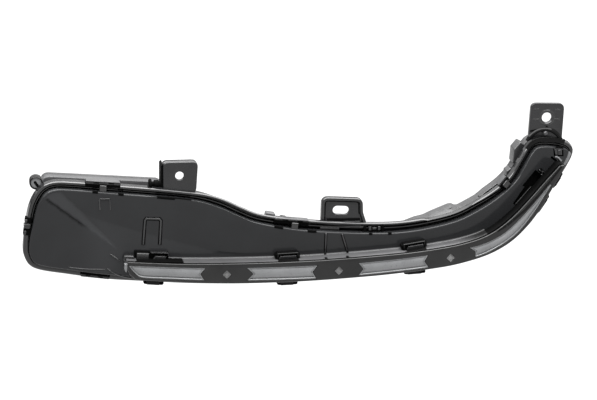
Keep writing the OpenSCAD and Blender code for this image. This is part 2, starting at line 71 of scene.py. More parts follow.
BARS_TOP = [
    (-42, -63), (16.5, -67.5), (48.5, -69), (103.5, -70.5), (136, -71), (192, -69.2), (226, -66.2),
    (239, -63.8), (253, -58.3), (265.5, -49), (278, -37), (293, -21),
]
BARS_LOW = [
    (293.5, -22.5), (287, -32), (280.5, -41.5), (270, -54), (261.5, -61.3), (249, -68.3),
    (231, -74.3), (192.5, -79), (136, -80.8), (102.5, -80.8), (48.5, -79), (15.5, -77), (-12, -74.7),
    (-30.5, -73), (-35, -71.3), (-38.5, -67.8),
]
BAR_ENDS = [
    (None, [(16.5, -67.5), (12.5, -72), (15.5, -77)]),
    ([(48.5, -69), (53.5, -74), (48.5, -79)], [(103.5, -70.5), (99.5, -75.5), (102.5, -80.8)]),
    ([(136, -71), (140, -76), (136, -80.8)], [(192, -69.2), (189, -74), (192.5, -79)]),
    ([(226, -66.2), (231, -69.7), (231, -74.3)], None),
]
MARKERS = [(33, -73.5), (120.5, -76), (210.5, -73)]
# Stretches of the body's outline that differ from the rim's: the shoulder and the pad
SHOULDER = [(14, -8), (28, -26.5), (48, -35.5), (66, -42), (68, -20)]
PAD = [(188, -60), (188, -51.5), (203, -46), (217.5, -41.3), (220, -41.3), (226, -45), (236, -41.5),
       (236, -60)]

# Outlines


def smooth(points, closed=True, step=2.0):
    """A Catmull-Rom curve through the points, in even steps."""
    p = [Vector(q) for q in points]
    n = len(p)
    out = []
    last = n if closed else n - 1
    for i in range(last):
        if closed:
            a, b, c, d = p[i - 1], p[i], p[(i + 1) % n], p[(i + 2) % n]
        else:
            a, b, c, d = p[max(i - 1, 0)], p[i], p[i + 1], p[min(i + 2, n - 1)]
        for k in range(16):
            t = k / 16
            out.append(0.5 * (2 * b + (c - a) * t + (2 * a - 5 * b + 4 * c - d) * t * t
                              + (3 * b - a - 3 * c + d) * t ** 3))
    if not closed:
        out.append(p[-1])
    return even(np.array(out), closed, step)


def even(loop, closed=True, step=2.0):
    pts = np.vstack([loop, loop[:1]]) if closed else loop
    length = np.r_[0, np.cumsum(np.linalg.norm(np.diff(pts, axis=0), axis=1))]
    count = max(3, int(round(length[-1] / step)))
    at = np.linspace(0, length[-1], count + 1)
    out = np.column_stack([np.interp(at, length, pts[:, k]) for k in (0, 1)])
    return out[:-1] if closed else out


def area(loop):
    x, z = loop[:, 0], loop[:, 1]
    return 0.5 * float(np.sum(x * np.roll(z, -1) - np.roll(x, -1) * z))


def ccw(loop):
    loop = np.asarray(loop, float)
    return loop if area(loop) > 0 else loop[::-1].copy()


def grow(loop, d):
    """The outline moved outwards by d, point for point, with mitred corners."""
    edge = np.roll(loop, -1, axis=0) - loop
    edge /= np.maximum(np.linalg.norm(edge, axis=1), 1e-9)[:, None]
    out = np.column_stack([edge[:, 1], -edge[:, 0]])
    prev = np.roll(out, 1, axis=0)
    mitre = (out + prev) / np.maximum(1 + np.sum(out * prev, axis=1), 0.35)[:, None]
    return loop + mitre * np.reshape(d, (-1, 1))


def inset(loop, d, step=2.0):
    """The outline moved inwards by a larger distance, without knots in tight corners."""
    fine = even(loop, True, 1)
    moved = grow(fine, -d)
    keep = moved[distance(moved, fine) > d * 0.985 - 0.01]
    return even(keep, True, step)


def distance(points, line, closed=True):
    a = np.asarray(line, float)
    b = np.roll(a, -1, axis=0)
    if not closed:
        a, b = a[:-1], b[:-1]
    ab = b - a
    out = np.empty(len(points))
    for i in range(0, len(points), 2000):
        p = points[i:i + 2000, None, :]
        t = np.clip(np.sum((p - a) * ab, axis=2) / np.maximum(np.sum(ab * ab, axis=1), 1e-12), 0, 1)
        out[i:i + 2000] = np.linalg.norm(p - (a + ab * t[:, :, None]), axis=2).min(axis=1)
    return out


def inside(points, loop):
    a, b = loop, np.roll(loop, -1, axis=0)
    x, z = points[:, 0][:, None], points[:, 1][:, None]
    cross = (a[:, 1] > z) != (b[:, 1] > z)
    with np.errstate(divide="ignore", invalid="ignore"):
        at = (b[:, 0] - a[:, 0]) * (z - a[:, 1]) / (b[:, 1] - a[:, 1]) + a[:, 0]
    return (np.sum(cross & (x < at), axis=1) % 2) == 1


def splice(loop, zone, points):
    """The outline with its stretch inside zone replaced by points."""
    cut = inside(loop, np.array(zone, float))
    start = [i for i in range(len(loop)) if cut[i] and not cut[i - 1]][0]
    rolled = np.roll(loop, -start, axis=0)
    rest = rolled[int(cut.sum()):]
    new = np.array(points, float)
    if np.linalg.norm(new[0] - rest[-1]) > np.linalg.norm(new[-1] - rest[-1]):
        new = new[::-1]
    return np.vstack([new, rest])


def rounded(points, r, n=5):
    """A polygon with its corners rounded."""
    p = [Vector(q) for q in ccw(points)]
    out = []
    for i, b in enumerate(p):
        a, c = p[i - 1], p[(i + 1) % len(p)]
        u, v = (a - b), (c - b)
        cut = min(r / max(math.tan(u.angle(v) / 2), 1e-6), u.length * 0.48, v.length * 0.48)
        s, e = b + u.normalized() * cut, b + v.normalized() * cut
        for k in range(n + 1):
            t = k / n
            out.append((1 - t) ** 2 * s + 2 * t * (1 - t) * b + t * t * e)
    return np.array(out)


def turned(points, at, degrees):
    a = math.radians(degrees)
    c, s = math.cos(a), math.sin(a)
    return [(at[0] + x * c - z * s, at[1] + x * s + z * c) for x, z in points]


def oblong(w, h, at, turn=0, r=0.5, n=3, dx=0, dz=0):
    """A rounded rectangle, moved by dx and dz along its own sides, turned and put in place."""
    corners = [(-w / 2, -h / 2), (w / 2, -h / 2), (w / 2, h / 2), (-w / 2, h / 2)]
    return rounded(turned([(x + dx, z + dz) for x, z in corners], at, turn), r, n)


def stroke(points, w):
    """The outline of a line of the given width through the points."""
    p = [Vector(q) for q in points]
    a, b = [], []
    for i, q in enumerate(p):
        d0 = (q - p[i - 1]).normalized() if i else (p[1] - q).normalized()
        d1 = (p[i + 1] - q).normalized() if i < len(p) - 1 else d0
        t = (d0 + d1).normalized()
        n = Vector((-t.y, t.x)) / max(t.dot(d1), 0.5)
        a.append(q + n * w / 2)
        b.append(q - n * w / 2)
    return np.array(a + b[::-1])


def circle(at, r, n=40):
    a = np.linspace(0, 2 * math.pi, n, endpoint=False)
    return np.column_stack([at[0] + r * np.cos(a), at[1] + r * np.sin(a)])


def bow(x):
    return BOW_R - math.sqrt(BOW_R ** 2 - x * x)


# Meshes


class Shell:
    """Collects points and faces of one piece."""

    def __init__(self, bowed=True):
        self.verts, self.faces, self.bowed = [], [], bowed

    def point(self, x, z, level):
        y = BOW_R - math.sqrt((BOW_R - level) ** 2 - x * x) if self.bowed else level
        self.verts.append((x / 1000, y / 1000, z / 1000))
        return len(self.verts) - 1

    def ring(self, loop, level):
        levels = level if hasattr(level, "__len__") else [level] * len(loop)
        return [self.point(x, z, v) for (x, z), v in zip(loop, levels)]

    def bridge(self, a, b, closed=True):
        n = len(a)
        for i in range(n if closed else n - 1):
            j = (i + 1) % n
            self.faces.append((a[i], a[j], b[j], b[i]))

    def sweep(self, loop, profile):
        """Skins the outline with rings given as (inset, level)."""
        last = None
        for d, level in profile:
            ring = self.ring(grow(loop, -d), level)
            if last:
                self.bridge(last, ring)
            last = ring
        return last

    def cap(self, loop, level, holes=(), step=6.0, flip=False, lines=()):
        """Fills an outline, with holes and crease lines, on a level or on a function of x and z."""
        loops = [loop] + [np.asarray(h, float) for h in holes]
        pts, cons = [], []
        for lp in loops:
            base = len(pts)
            pts += [tuple(q) for q in lp]
            cons += [(base + i, base + (i + 1) % len(lp)) for i in range(len(lp))]
        for line in lines:
            line = line[inside(line, grow(loop, -0.6))]
            base = len(pts)
            pts += [tuple(q) for q in line]
            cons += [(base + i, base + i + 1) for i in range(len(line) - 1)]
        lo, hi = loop.min(axis=0), loop.max(axis=0)
        gx = np.arange(lo[0] + step / 2, hi[0], step)
        gz = np.arange(lo[1] + step / 2, hi[1], step)
        if len(gx) and len(gz):
            grid = np.array([(x, z) for x in gx for z in gz])
            ok = inside(grid, loop) & (distance(grid, loop) > step * 0.35)
            for h in loops[1:]:
                ok &= ~inside(grid, h) & (distance(grid, h) > step * 0.35)
            for line in lines:
                ok &= distance(grid, line, False) > step * 0.3
            pts += [tuple(q) for q in grid[ok]]
        got = geometry.delaunay_2d_cdt([Vector(q) for q in pts], cons, [], 1, 1e-5)
        xz = np.array([tuple(q) for q in got[0]])
        lev = level(xz) if callable(level) else np.full(len(xz), float(level))
        ids = [self.point(q[0], q[1], v) for q, v in zip(xz, lev)]
        tris = [f for f in got[2] if len(f) == 3]
        mid = np.array([xz[list(f)].mean(axis=0) for f in tris])
        ok = inside(mid, loop)
        for h in loops[1:]:
            ok &= ~inside(mid, h)
        for f, good in zip(tris, ok):
            if good:
                self.faces.append(tuple(ids[k] for k in (f if not flip else f[::-1])))

    def stand(self, name, material, angle, node="rear_housing"):
        """Makes the piece, which stands for part of the node."""
        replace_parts(self.make(name, material, angle), node)

    def make(self, name, material, angle=32):
        mesh = bpy.data.meshes.new(name)
        bm = bmesh.new()
        vs = [bm.verts.new(v) for v in self.verts]
        for f in self.faces:
            if len(set(f)) == len(f):
                try:
                    bm.faces.new([vs[i] for i in f])
                except ValueError:
                    pass
        bmesh.ops.remove_doubles(bm, verts=bm.verts, dist=2e-6)
        bmesh.ops.dissolve_degenerate(bm, edges=bm.edges, dist=1e-7)
        loose = [v for v in bm.verts if not v.link_faces]
        bmesh.ops.delete(bm, geom=loose, context="VERTS")
        bmesh.ops.recalc_face_normals(bm, faces=bm.faces)
        bm.to_mesh(mesh)
        bm.free()
        mesh.shade_smooth()
        mesh.set_sharp_from_angle(angle=math.radians(angle))
        obj = bpy.data.objects.new(name, mesh)
        bpy.context.scene.collection.objects.link(obj)
        mesh.materials.append(material)
        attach(obj, "root")
        return obj


def fillet(front, r, n=3):
    """Profile points of a rounded front edge, from the side to the face."""
    return [(r * (1 - math.cos(a)), front + r * (1 - math.sin(a)))
            for a in [math.pi / 2 * k / n for k in range(n + 1)]]


def slab(name, loop, front, back, material, r=0.5, holes=(), hole_r=0.3, bowed=True, step=3):
    """A solid plate with a rounded front edge, rounded holes and a back."""
    s = Shell(bowed)
    loop = ccw(loop)
    s.sweep(loop, [(0, back)] + fillet(front, r))
    rims = [ccw(h) for h in holes]
    s.cap(grow(loop, -r), front, [grow(h, hole_r) for h in rims], step)
    for h in rims:
        s.sweep(h, [(-hole_r * (1 - math.cos(a)), front + hole_r * (1 - math.sin(a)))
                    for a in (math.pi / 2, math.pi / 3, math.pi / 6, 0)] + [(0, back)])
    s.cap(loop, back, rims, step, flip=True)
    return s.make(name, material)


def slab_on(node, **usual):
    """A function that makes slabs which stand for part of the node."""
    def add(*shape, **more):
        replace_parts(slab(*shape, **{**usual, **more}), node)
    return add


on_housing = slab_on("rear_housing")
on_tab = slab_on("rear_housing", bowed=False, step=4)
on_cover = slab_on("front_cover")
on_strip = slab_on("strip_bezel")


def lathe(name, profile, at, axis, material, n=40):
    """A piece of the housing turned round an axis: profile is (radius, along), at in mm, in x, y, z."""
    s = Shell(False)
    k = Vector(axis).normalized()
    u = k.orthogonal().normalized()
    v = k.cross(u)
    rings = []
    for r, along in profile:
        ring = []
        for i in range(n):
            a = 2 * math.pi * i / n
            q = (Vector(at) + k * along + (u * math.cos(a) + v * math.sin(a)) * max(r, 1e-4)) / 1000
            s.verts.append(tuple(q))
            ring.append(len(s.verts) - 1)
        rings.append(ring)
    for a, b in zip(rings, rings[1:]):
        s.bridge(a, b)
    s.stand(name, material, 35)


# Materials


def nodes_of(name):
    m = bpy.data.materials.new(name)
    m.use_nodes = True
    t = m.node_tree
    return m, t, t.nodes["Principled BSDF"]


def tex(t, kind, scale, **kw):
    n = t.nodes.new(kind)
    n.inputs["Scale"].default_value = scale
    for k, v in kw.items():
        n.inputs[k].default_value = v
    c = t.nodes.get("Texture Coordinate") or t.nodes.new("ShaderNodeTexCoord")
    t.links.new(c.outputs["Object"], n.inputs["Vector"])
    return n


def noise(t, scale, detail, rough=0.5):
    return tex(t, "ShaderNodeTexNoise", scale, Detail=detail, Roughness=rough).outputs["Fac"]


def spread(t, source, low, high, to, start=0.3, end=0.7, kind="LINEAR"):
    """Maps a value from start..end to low..high."""
    m = t.nodes.new("ShaderNodeMapRange")
    m.interpolation_type = kind
    for socket, value in (("From Min", start), ("From Max", end), ("To Min", low), ("To Max", high)):
        m.inputs[socket].default_value = value
    t.links.new(source, m.inputs["Value"])
    t.links.new(m.outputs["Result"], to)
    return m


def tint(t, source, dark, light, to, start=0.3, end=0.7):
    """Maps a value from start..end to a colour; a plain number stands for a neutral grey."""
    ramp = t.nodes.new("ShaderNodeValToRGB")
    for stop, at, colour in zip(ramp.color_ramp.elements, (start, end), (dark, light)):
        stop.position = at
        stop.color = (*colour, 1) if isinstance(colour, tuple) else (colour, colour, colour, 1)
    t.links.new(source, ramp.inputs["Fac"])
    t.links.new(ramp.outputs["Color"], to)


def bump(t, height, strength, depth, normal=None):
    n = t.nodes.new("ShaderNodeBump")
    n.inputs["Strength"].default_value = strength
    n.inputs["Distance"].default_value = depth
    t.links.new(height, n.inputs["Height"])
    if normal:
        t.links.new(normal, n.inputs["Normal"])
    return n.outputs["Normal"]


GRAIN_DEPTH = 0.00004


def plastic(name, dark, light, rough, grain, grain_size, edge=0.0, specular=0.5):
    """Moulded plastic: cloudy colour, uneven gloss, moulded grain and, on plain solids, softened edges."""
    m, t, b = nodes_of(name)
    cloud = noise(t, 45, 4, 0.6)
    tint(t, cloud, dark, light, b.inputs["Base Color"])
    fine = noise(t, 320, 3, 0.55)
    spread(t, fine, *rough, b.inputs["Roughness"])
    b.inputs["Specular IOR Level"].default_value = specular
    normal = None
    if edge:
        bevel = t.nodes.new("ShaderNodeBevel")
        bevel.samples = 4
        bevel.inputs["Radius"].default_value = edge
        normal = bevel.outputs["Normal"]
    pits = tex(t, "ShaderNodeTexVoronoi", grain_size)
    t.links.new(bump(t, pits.outputs["Distance"], grain, GRAIN_DEPTH, normal), b.inputs["Normal"])
    return m


def metal(name, dark, light, rough):
    m = plastic(name, dark, light, rough, 0.15, 2500, 0.0002)
    m.node_tree.nodes["Principled BSDF"].inputs["Metallic"].default_value = 1.0
    return m


def clear_plastic(name):
    m, t, b = nodes_of(name)
    fine = noise(t, 200, 2)
    spread(t, fine, 0.04, 0.1, b.inputs["Roughness"])
    b.inputs["Base Color"].default_value = (0.9, 0.92, 0.95, 1)
    b.inputs["Transmission Weight"].default_value = 0.9
    b.inputs["IOR"].default_value = 1.49
    return m


def diffuser(name):
    """Milky grey lens with fine optic lines across the bar."""
    m, t, b = nodes_of(name)
    cloud = noise(t, 60, 5, 0.65)
    tint(t, cloud, (0.085, 0.087, 0.089), (0.12, 0.122, 0.125), b.inputs["Base Color"])
    fine = noise(t, 700, 2)
    spread(t, fine, 0.26, 0.36, b.inputs["Roughness"])
    wave = tex(t, "ShaderNodeTexWave", 160, Distortion=0.4)
    t.links.new(bump(t, wave.outputs["Fac"], 0.12, 0.0001), b.inputs["Normal"])
    return m


def face_paint(name):
    """Gloss black of the cover, made lighter and darker by a point attribute of painted light and shade."""
    m, t, b = nodes_of(name)
    painted_shading = t.nodes.new("ShaderNodeAttribute")
    painted_shading.attribute_name = "painted_shading"
    cloud = noise(t, 30, 4, 0.6)
    add = t.nodes.new("ShaderNodeMath")
    add.operation = "MULTIPLY_ADD"
    add.inputs[1].default_value = 0.12
    t.links.new(cloud, add.inputs[0])
    t.links.new(painted_shading.outputs["Fac"], add.inputs[2])
    tint(t, add.outputs["Value"], 0, (0.04, 0.041, 0.043), b.inputs["Base Color"], 0, 1)
    fine = noise(t, 320, 3, 0.55)
    spread(t, fine, 0.1, 0.16, b.inputs["Roughness"])
    b.inputs["Specular IOR Level"].default_value = 0.16
    pits = tex(t, "ShaderNodeTexVoronoi", 900)
    t.links.new(bump(t, pits.outputs["Distance"], 0.08, GRAIN_DEPTH), b.inputs["Normal"])
    return m


def ledge_paint(name):
    """Satin grey that runs out into black where the ledge turns up the arm: the black is painted shade."""
    m, t, b = nodes_of(name)
    c = t.nodes.new("ShaderNodeTexCoord")
    sep = t.nodes.new("ShaderNodeSeparateXYZ")
    t.links.new(c.outputs["Object"], sep.inputs["Vector"])
    mix = t.nodes.new("ShaderNodeMix")
    mix.data_type = "RGBA"
    # Running out into black between x 0.213 m and 0.238 m: painted shade where the ledge turns up the arm
    spread(t, sep.outputs["X"], 0, 1, mix.inputs["Factor"], 0.213, 0.238, "SMOOTHSTEP")
    cloud = noise(t, 80, 4)
    tint(t, cloud, (0.03, 0.03, 0.031), (0.038, 0.038, 0.039), mix.inputs["A"])
    mix.inputs["B"].default_value = (0.004, 0.004, 0.004, 1)
    t.links.new(mix.outputs["Result"], b.inputs["Base Color"])
    fine = noise(t, 500, 3)
    spread(t, fine, 0.28, 0.4, b.inputs["Roughness"])
    b.inputs["Specular IOR Level"].default_value = 0.3
    return m


# Name, dark, light, roughness range, grain's strength and scale, edge softening in metres

GLOSS = plastic("gloss_black", (0.004, 0.004, 0.0045), (0.007, 0.007, 0.0075), (0.1, 0.17), 0.1, 900)
VOID = plastic("shadow_black", 0.0008, 0.0016, (0.5, 0.7), 0.2, 1500, specular=0.02)
VOID_GLOSS = plastic("groove_black", 0.001, 0.002, (0.1, 0.16), 0.05, 1500, specular=0.12)
RIM_M = plastic("rim_black", 0.004, (0.008, 0.008, 0.0085), (0.12, 0.22), 0.12, 900)
GRAIN = plastic("grained_black", (0.016, 0.016, 0.017), (0.026, 0.026, 0.027), (0.26, 0.4), 0.5, 1500)
BODY = plastic("body_black", (0.01, 0.01, 0.0105), (0.018, 0.018, 0.0185), (0.26, 0.4), 0.5, 1500,
               specular=0.4)
GRAIN_E = plastic("grained_black_cad", (0.01, 0.01, 0.011), (0.02, 0.02, 0.021), (0.28, 0.42), 0.5,
                  1500, 0.0004)
HOOK = plastic("hook_black", 0.005, 0.012, (0.16, 0.28), 0.2, 1100)
FRONT = plastic("strip_black", 0.004, 0.008, (0.14, 0.22), 0.1, 1000, specular=0.3)
MARK_M = plastic("marker_grey", 0.07, 0.12, (0.3, 0.42), 0.5, 1600)
SOCKET = plastic("socket_black", 0.008, 0.014, (0.3, 0.4), 0.2, 1300, 0.0003)
RUBBER = plastic("seal_rubber", 0.008, 0.016, (0.55, 0.7), 0.3, 1800, 0.0003)
WHITE = plastic("white_plastic", (0.7, 0.7, 0.68), (0.78, 0.78, 0.76), (0.35, 0.5), 0.1, 1200, 0.0002)
BOARD = plastic("board_green", (0.01, 0.09, 0.03), (0.02, 0.14, 0.05), (0.3, 0.4), 0.1, 1500, 0.0001)
CHIP = plastic("component_black", (0.012, 0.012, 0.013), 0.02, (0.4, 0.5), 0.2, 1500, 0.0001)
LAMP = plastic("led_package", (0.75, 0.62, 0.2), (0.85, 0.75, 0.35), (0.25, 0.35), 0.1, 1500, 0.0001)
MEMBRANE = plastic("membrane", 0.7, 0.82, (0.7, 0.8), 0.4, 2500)
TAB = plastic("tab_black", (0.006, 0.006, 0.0063), (0.01, 0.01, 0.0105), (0.2, 0.3), 0.05, 1100,
              specular=0.35)
FACE_EDGE = plastic("cover_edge", (0.008, 0.008, 0.0085), (0.013, 0.013, 0.0135), (0.1, 0.18), 0.08, 900)
# Light grey for small pieces that are painted highlights and a painted reflection
PAINTED_HIGHLIGHT = plastic("painted_highlight_grey", (0.08, 0.081, 0.083), (0.11, 0.112, 0.115), (0.28, 0.4), 0.1, 1200)
STEEL = metal("screw_steel", (0.42, 0.42, 0.44), (0.58, 0.58, 0.6), (0.25, 0.4))
BRASS = metal("contact_brass", (0.62, 0.46, 0.2), (0.75, 0.6, 0.3), (0.2, 0.3))
CLEAR = clear_plastic("clear_plastic")
BAR = diffuser("diffuser_grey")
FACE = face_paint("cover_black")
LEDGE = ledge_paint("ledge_satin_arm_shade")

# Housing: rim with its double groove, body, bay, tabs and small features


def ease(v, lo, hi):
    t = np.clip((v - lo) / (hi - lo), 0, 1)
    return t * t * (3 - 2 * t)


def zones(loop):
    """Shares of the upper left, upper middle and lower rim at each point of an outline."""
    out = grow(loop, 1) - loop
    low = ease(-out[:, 1], 0, 0.5)
    low = np.maximum(low, ease(-loop[:, 1], 32, 46) * (loop[:, 0] < -95))
    width = 7
    mean = np.ones(2 * width + 1) / (2 * width + 1)
    low = np.convolve(np.r_[low[-width:], low, low[:width]], mean, "valid")
    mid = ease(loop[:, 0], 5, 35) * (1 - ease(loop[:, 0], 235, 262)) * (1 - low)
    return 1 - mid - low, mid, low


def blend(shares, profiles):
    """One ring per profile point: inset and level mixed by the shares."""
    return [tuple(sum(w * p[k] for w, p in zip(shares, points)) for k in (0, 1))
            for points in zip(*profiles)]


# Rim profiles, from the seal outwards: inset from the outline and level

UPPER_LEFT = [(7.6, 9), (6, 9), (6, -1.2), (5.85, -1.7), (5.45, -1.7), (5.3, -1.2), (5.3, 3), (4.6, 3),
              (4.6, -2.2), (4.4, -2.8), (3.9, -3), (3, -3), (2.6, -2.85), (2.3, -2.4), (2.15, -1.7),
              (1.3, 2.4), (1.9, 3.4), (5.4, 4), (5.6, 11.5), (7, 11.5)]
UPPER_MID = [(7.6, 9), (5.6, 9), (5.6, -1.2), (5.4, -1.7), (4.85, -1.7), (4.65, -1.2), (4.65, 3), (3, 3),
             (3, -2.2), (2.85, -2.7), (2.5, -2.95), (2, -3), (1.5, -2.8), (1.1, -2.3), (0.9, -1.6),
             (0.75, 0.2), (1.3, 1.2), (3.9, 11.2), (4.3, 11.5), (7, 11.5)]
LOWER = [(7.6, 9), (4.35, 9), (4.35, -1.2), (4.3, -1.7), (4.25, -1.7), (4.2, -1.2), (4.2, 3), (4, 3),
         (4, -2.4), (3.9, -2.85), (3.6, -3), (1.4, -3), (0.8, -2.85), (0.35, -2.5), (0.1, -1.9),
         (0, 0.5), (0.2, 3), (0.3, 10.8), (0.7, 11.5), (7, 11.5)]
rim = ccw(smooth(RIM, True, 1.6))
rim_x, shares = rim[:, 0], zones(rim)
# Above the pad the crest's outer side (points 11 on) draws back, and the crest (10 to 16) ends 2.8 mm
# inside the outline; above the shoulder the slope (15 on) draws back
over_pad = 1.1 * ease(rim_x, 190, 200) * (1 - ease(rim_x, 240, 262)) * shares[1]
pad = ease(rim_x, 190, 200) * (1 - ease(rim_x, 224, 240)) * shares[1]
steep = 0.9 * ease(rim_x, -10, 15) * (1 - ease(rim_x, 62, 75)) * shares[1]
rings = []
for k, (d, level) in enumerate(blend(shares, (UPPER_LEFT, UPPER_MID, LOWER))):
    d = d + (over_pad if k > 10 else 0) + (steep if k > 14 else 0)
    rings.append((np.where(d < 2.8, d + (2.8 - d) * pad, d) if 9 < k < 17 else d, level))
s = Shell()
s.sweep(rim, rings)
s.stand("rim_frame", RIM_M, 40)
s = Shell()
# Dark band behind the rim, drawn back where the body comes up to it
hide = 4.0 * ease(rim_x, 0, 10) * (1 - ease(rim_x, 232, 240)) + 4.0 * shares[2]
deep = 11 + 3.5 * ease(rim_x, 232, 240)
s.sweep(rim, [(5.0 + hide, 3.6), (4.5 + hide, 4.2), (4.5 + hide, deep), (5.0 + hide, deep + 0.5)])
s.stand("rim_shadow_gap", VOID, 40)

body = inset(rim, 5, 2.5)
body = splice(body, SHOULDER, [(28, -26.5), (48, -35.5), (65, -41.5)])
body = splice(body, PAD, [(197, -48.4), (203, -46), (217.5, -41.3), (220, -41.3), (222.5, -42.7)])
body = even(ccw(body), True, 2.5)
out = grow(body, 1) - body
wide = 1.7 * ease(out[:, 1], 0.2, 0.6) * ease(body[:, 0], 238, 250) * (1 - ease(body[:, 0], 284, 294))
body = grow(body, wide)
draft = 3.2 + 1.8 * ease(body[:, 0], 20, 50) * (1 - ease(body[:, 0], 146, 162))
draft *= ease(out[:, 1], 0, 0.5) * (1 - ease(body[:, 0], 176, 192))
s = Shell()
ramp = ease(body[:, 0], 192, 202) * (1 - ease(body[:, 0], 222, 230)) * ease(out[:, 1], 0, 0.5)
s.sweep(body, [(8, 12), (5.0 * ramp + 0.2, 10.5 - 8 * ramp), (0, 11 + 5 * ramp),
               (draft * 0.85, BODY_BACK - 2)]
        + [(draft * 0.85 + 2 * (1 - math.cos(a)), BODY_BACK - 2 + 2 * math.sin(a))
           for a in (0.5, 1.05, math.pi / 2)])
s.cap(grow(body, -2 - draft * 0.85), BODY_BACK, step=7.0)
s.stand("housing_body", BODY, 35)
for i, line in enumerate([[(206, -47.2), (219, -42.2)], [(208, -51), (221, -45.5)]]):
    s = Shell(False)
    loop = ccw(stroke(line, 0.3))
    s.sweep(loop, [(0, bow(212) + 13 + 5 * i), (0, bow(212) + 13.3 + 5 * i)])
    s.cap(loop, bow(212) + 13 + 5 * i, step=4.0)
    s.stand(f"pad_line_{i + 1}", RIM_M, 35)

BAY = [(-103, -4.6), (-9, -13.2), (-9, -67), (-103, -61.5)]
bay = ccw(rounded(BAY, 7, 7))
s = Shell(False)
s.sweep(bay, [(3.2, 21), (3.2, 33.8), (0.5, 33.8), (0.15, 34), (0, 34.4), (0, 44.5), (0.15, 44.85),
              (0.5, 45), (2.4, 45), (2.4, 35)])
s.stand("electronics_bay", GRAIN, 35)
for i, x in enumerate(range(22, 253, 34)):
    lean = math.tan(math.radians(8))
    line = np.array([(x - z * lean, z) for z in np.arange(0, -92, -1.0)])
    line = line[inside(line, grow(body, -6))]
    if len(line) > 3:
        (x0, z0), (x1, z1) = line[0], line[-1]
        loop = even(ccw([(x0 - 1, z0), (x0 + 1, z0), (x1 + 1, z1), (x1 - 1, z1)]), True, 3)
        s = Shell()
        s.sweep(loop, [(0, 23), (0, 26.4), (0.3, 26.9)])
        s.cap(grow(loop, -0.3), 26.9, step=6.0)
        s.stand(f"back_rib_{i + 1}", GRAIN, 35)

# Tabs

left = rounded([(-12.6, -14), (-12.4, 11), (14.4, 10.6), (12.6, -14)], 4.2, 8)
on_tab("tab_left", left, 0, 3, TAB, 0.7, [circle((0, 0), LEFT_HOLE_R)], 0.5)
s = Shell(False)
lip = ccw(rounded([(-13.4, -14), (-13.2, 11.1), (14.6, 10.7), (12.7, -14)], 4.6, 8))
s.sweep(lip, [(2.4, 2.6), (0.5, 2.3), (0.1, 2.6), (0, 3), (0, 7.6), (0.3, 8), (2.1, 8), (2.4, 7.7),
              (2.4, 2.9)])
s.stand("tab_left_return", RIM_M, 40)
on_tab("tab_left_gusset", [(-14.2, -12), (-12.6, -12), (-12.4, 9.2), (-14, 8.2)], 1.2, 16, VOID, 0.3)

MID_TAB = turned([(-16, -11.5), (-15.2, 11.4), (17, 9), (17.2, -2), (21.5, -15.5)], MIDDLE_SLOT, 0)
SLOT = turned([(side * (SLOT_R * math.cos(a) + 3), side * SLOT_R * math.sin(a)) for side in (1, -1)
               for a in np.radians(np.arange(-90, 91, 15))], MIDDLE_SLOT, -4)
mid = rounded(MID_TAB, 5.6, 8)
on_tab("tab_middle", mid, 8, 11, TAB, 0.4, [SLOT], 0.45)
s = Shell(False)
s.sweep(ccw(mid), [(3.1, 8.1), (2.8, 7.7), (2.5, 6.5), (2.1, 6), (0.7, 6), (0.2, 6.25), (0, 6.8), (0, 11)])
s.stand("tab_middle_border", RIM_M, 50)
# A dark line where the border meets the plate: painted shade in the corner
groove = stroke([(x, z) for x, z in grow(ccw(mid), -3.3) if z > -44], 0.5)
on_tab("tab_middle_line", groove, 7.8, 8.2, VOID, 0.1, step=3)
# The first step is shadow black and tall: painted shade across the tab's lower part
for i, (z, h, y, m) in enumerate([(-43.4, 4.9, 6.6, VOID), (-43.2, 0.8, 6, TAB), (-46.9, 1.8, 5, TAB)]):
    step_bar = oblong(26, h, (128, z), -2, 0.45)
    on_tab(f"tab_middle_step_{i + 1}", step_bar, y, y + 3, m, 0.4)
plate = oblong(15.5, 2.4, (116.5, -47.6), -6, 0.5)
on_housing("tab_middle_plate", plate, -1.6, 4, RIM_M, 0.4, step=4)

RIGHT_TAB = turned([(-15, -21.6), (-12.9, 12.1), (14, 10.9), (12.3, -21.6)], RIGHT_HOLE, 0)
right = rounded(RIGHT_TAB, 4.8, 8)
on_tab("tab_right", right, 35, 38.2, TAB, 0.25, [circle(RIGHT_HOLE, RIGHT_HOLE_R)], 0.6, step=3)
s = Shell(False)
s.sweep(ccw(circle(RIGHT_HOLE, 5.6)), [(-0.9, 35.1), (-0.4, 34.75), (0.1, 34.6), (0.6, 34.6), (1, 34.75),
                                       (1.3, 35.2)])
s.stand("tab_right_ring", RIM_M, 60)
for i, (x, z, w) in enumerate([(-8.6, 7, 5), (-8.8, -1.2, 5), (8.6, 6, 5), (8.4, -1.6, 5)]):
    bar = oblong(w, 1.1, (RIGHT_HOLE[0] + x, RIGHT_HOLE[1] + z), 4 if x < 0 else -4, 0.5)
    on_tab(f"tab_right_rib_{i + 1}", bar, 34.88, 36, RIM_M, 0.12, step=6)
streak = stroke([(281.6, 16.2), (287, 17.2), (292.5, 17.1)], 1.3)
on_tab("tab_right_streak", streak, 34.7, 36, VOID, 0.3, step=6)
on_tab("tab_right_notch", circle((295, 18.6), 1.2, 16), 34.6, 36, VOID, 0.3, step=6)


def arc(r):
    """The arch under the right tab, at radius r."""
    return np.array([(293.2 + r * 0.98 * math.cos(a), 2.6 + r * math.sin(a))
                     for a in np.radians(np.linspace(22, 158, 28))])


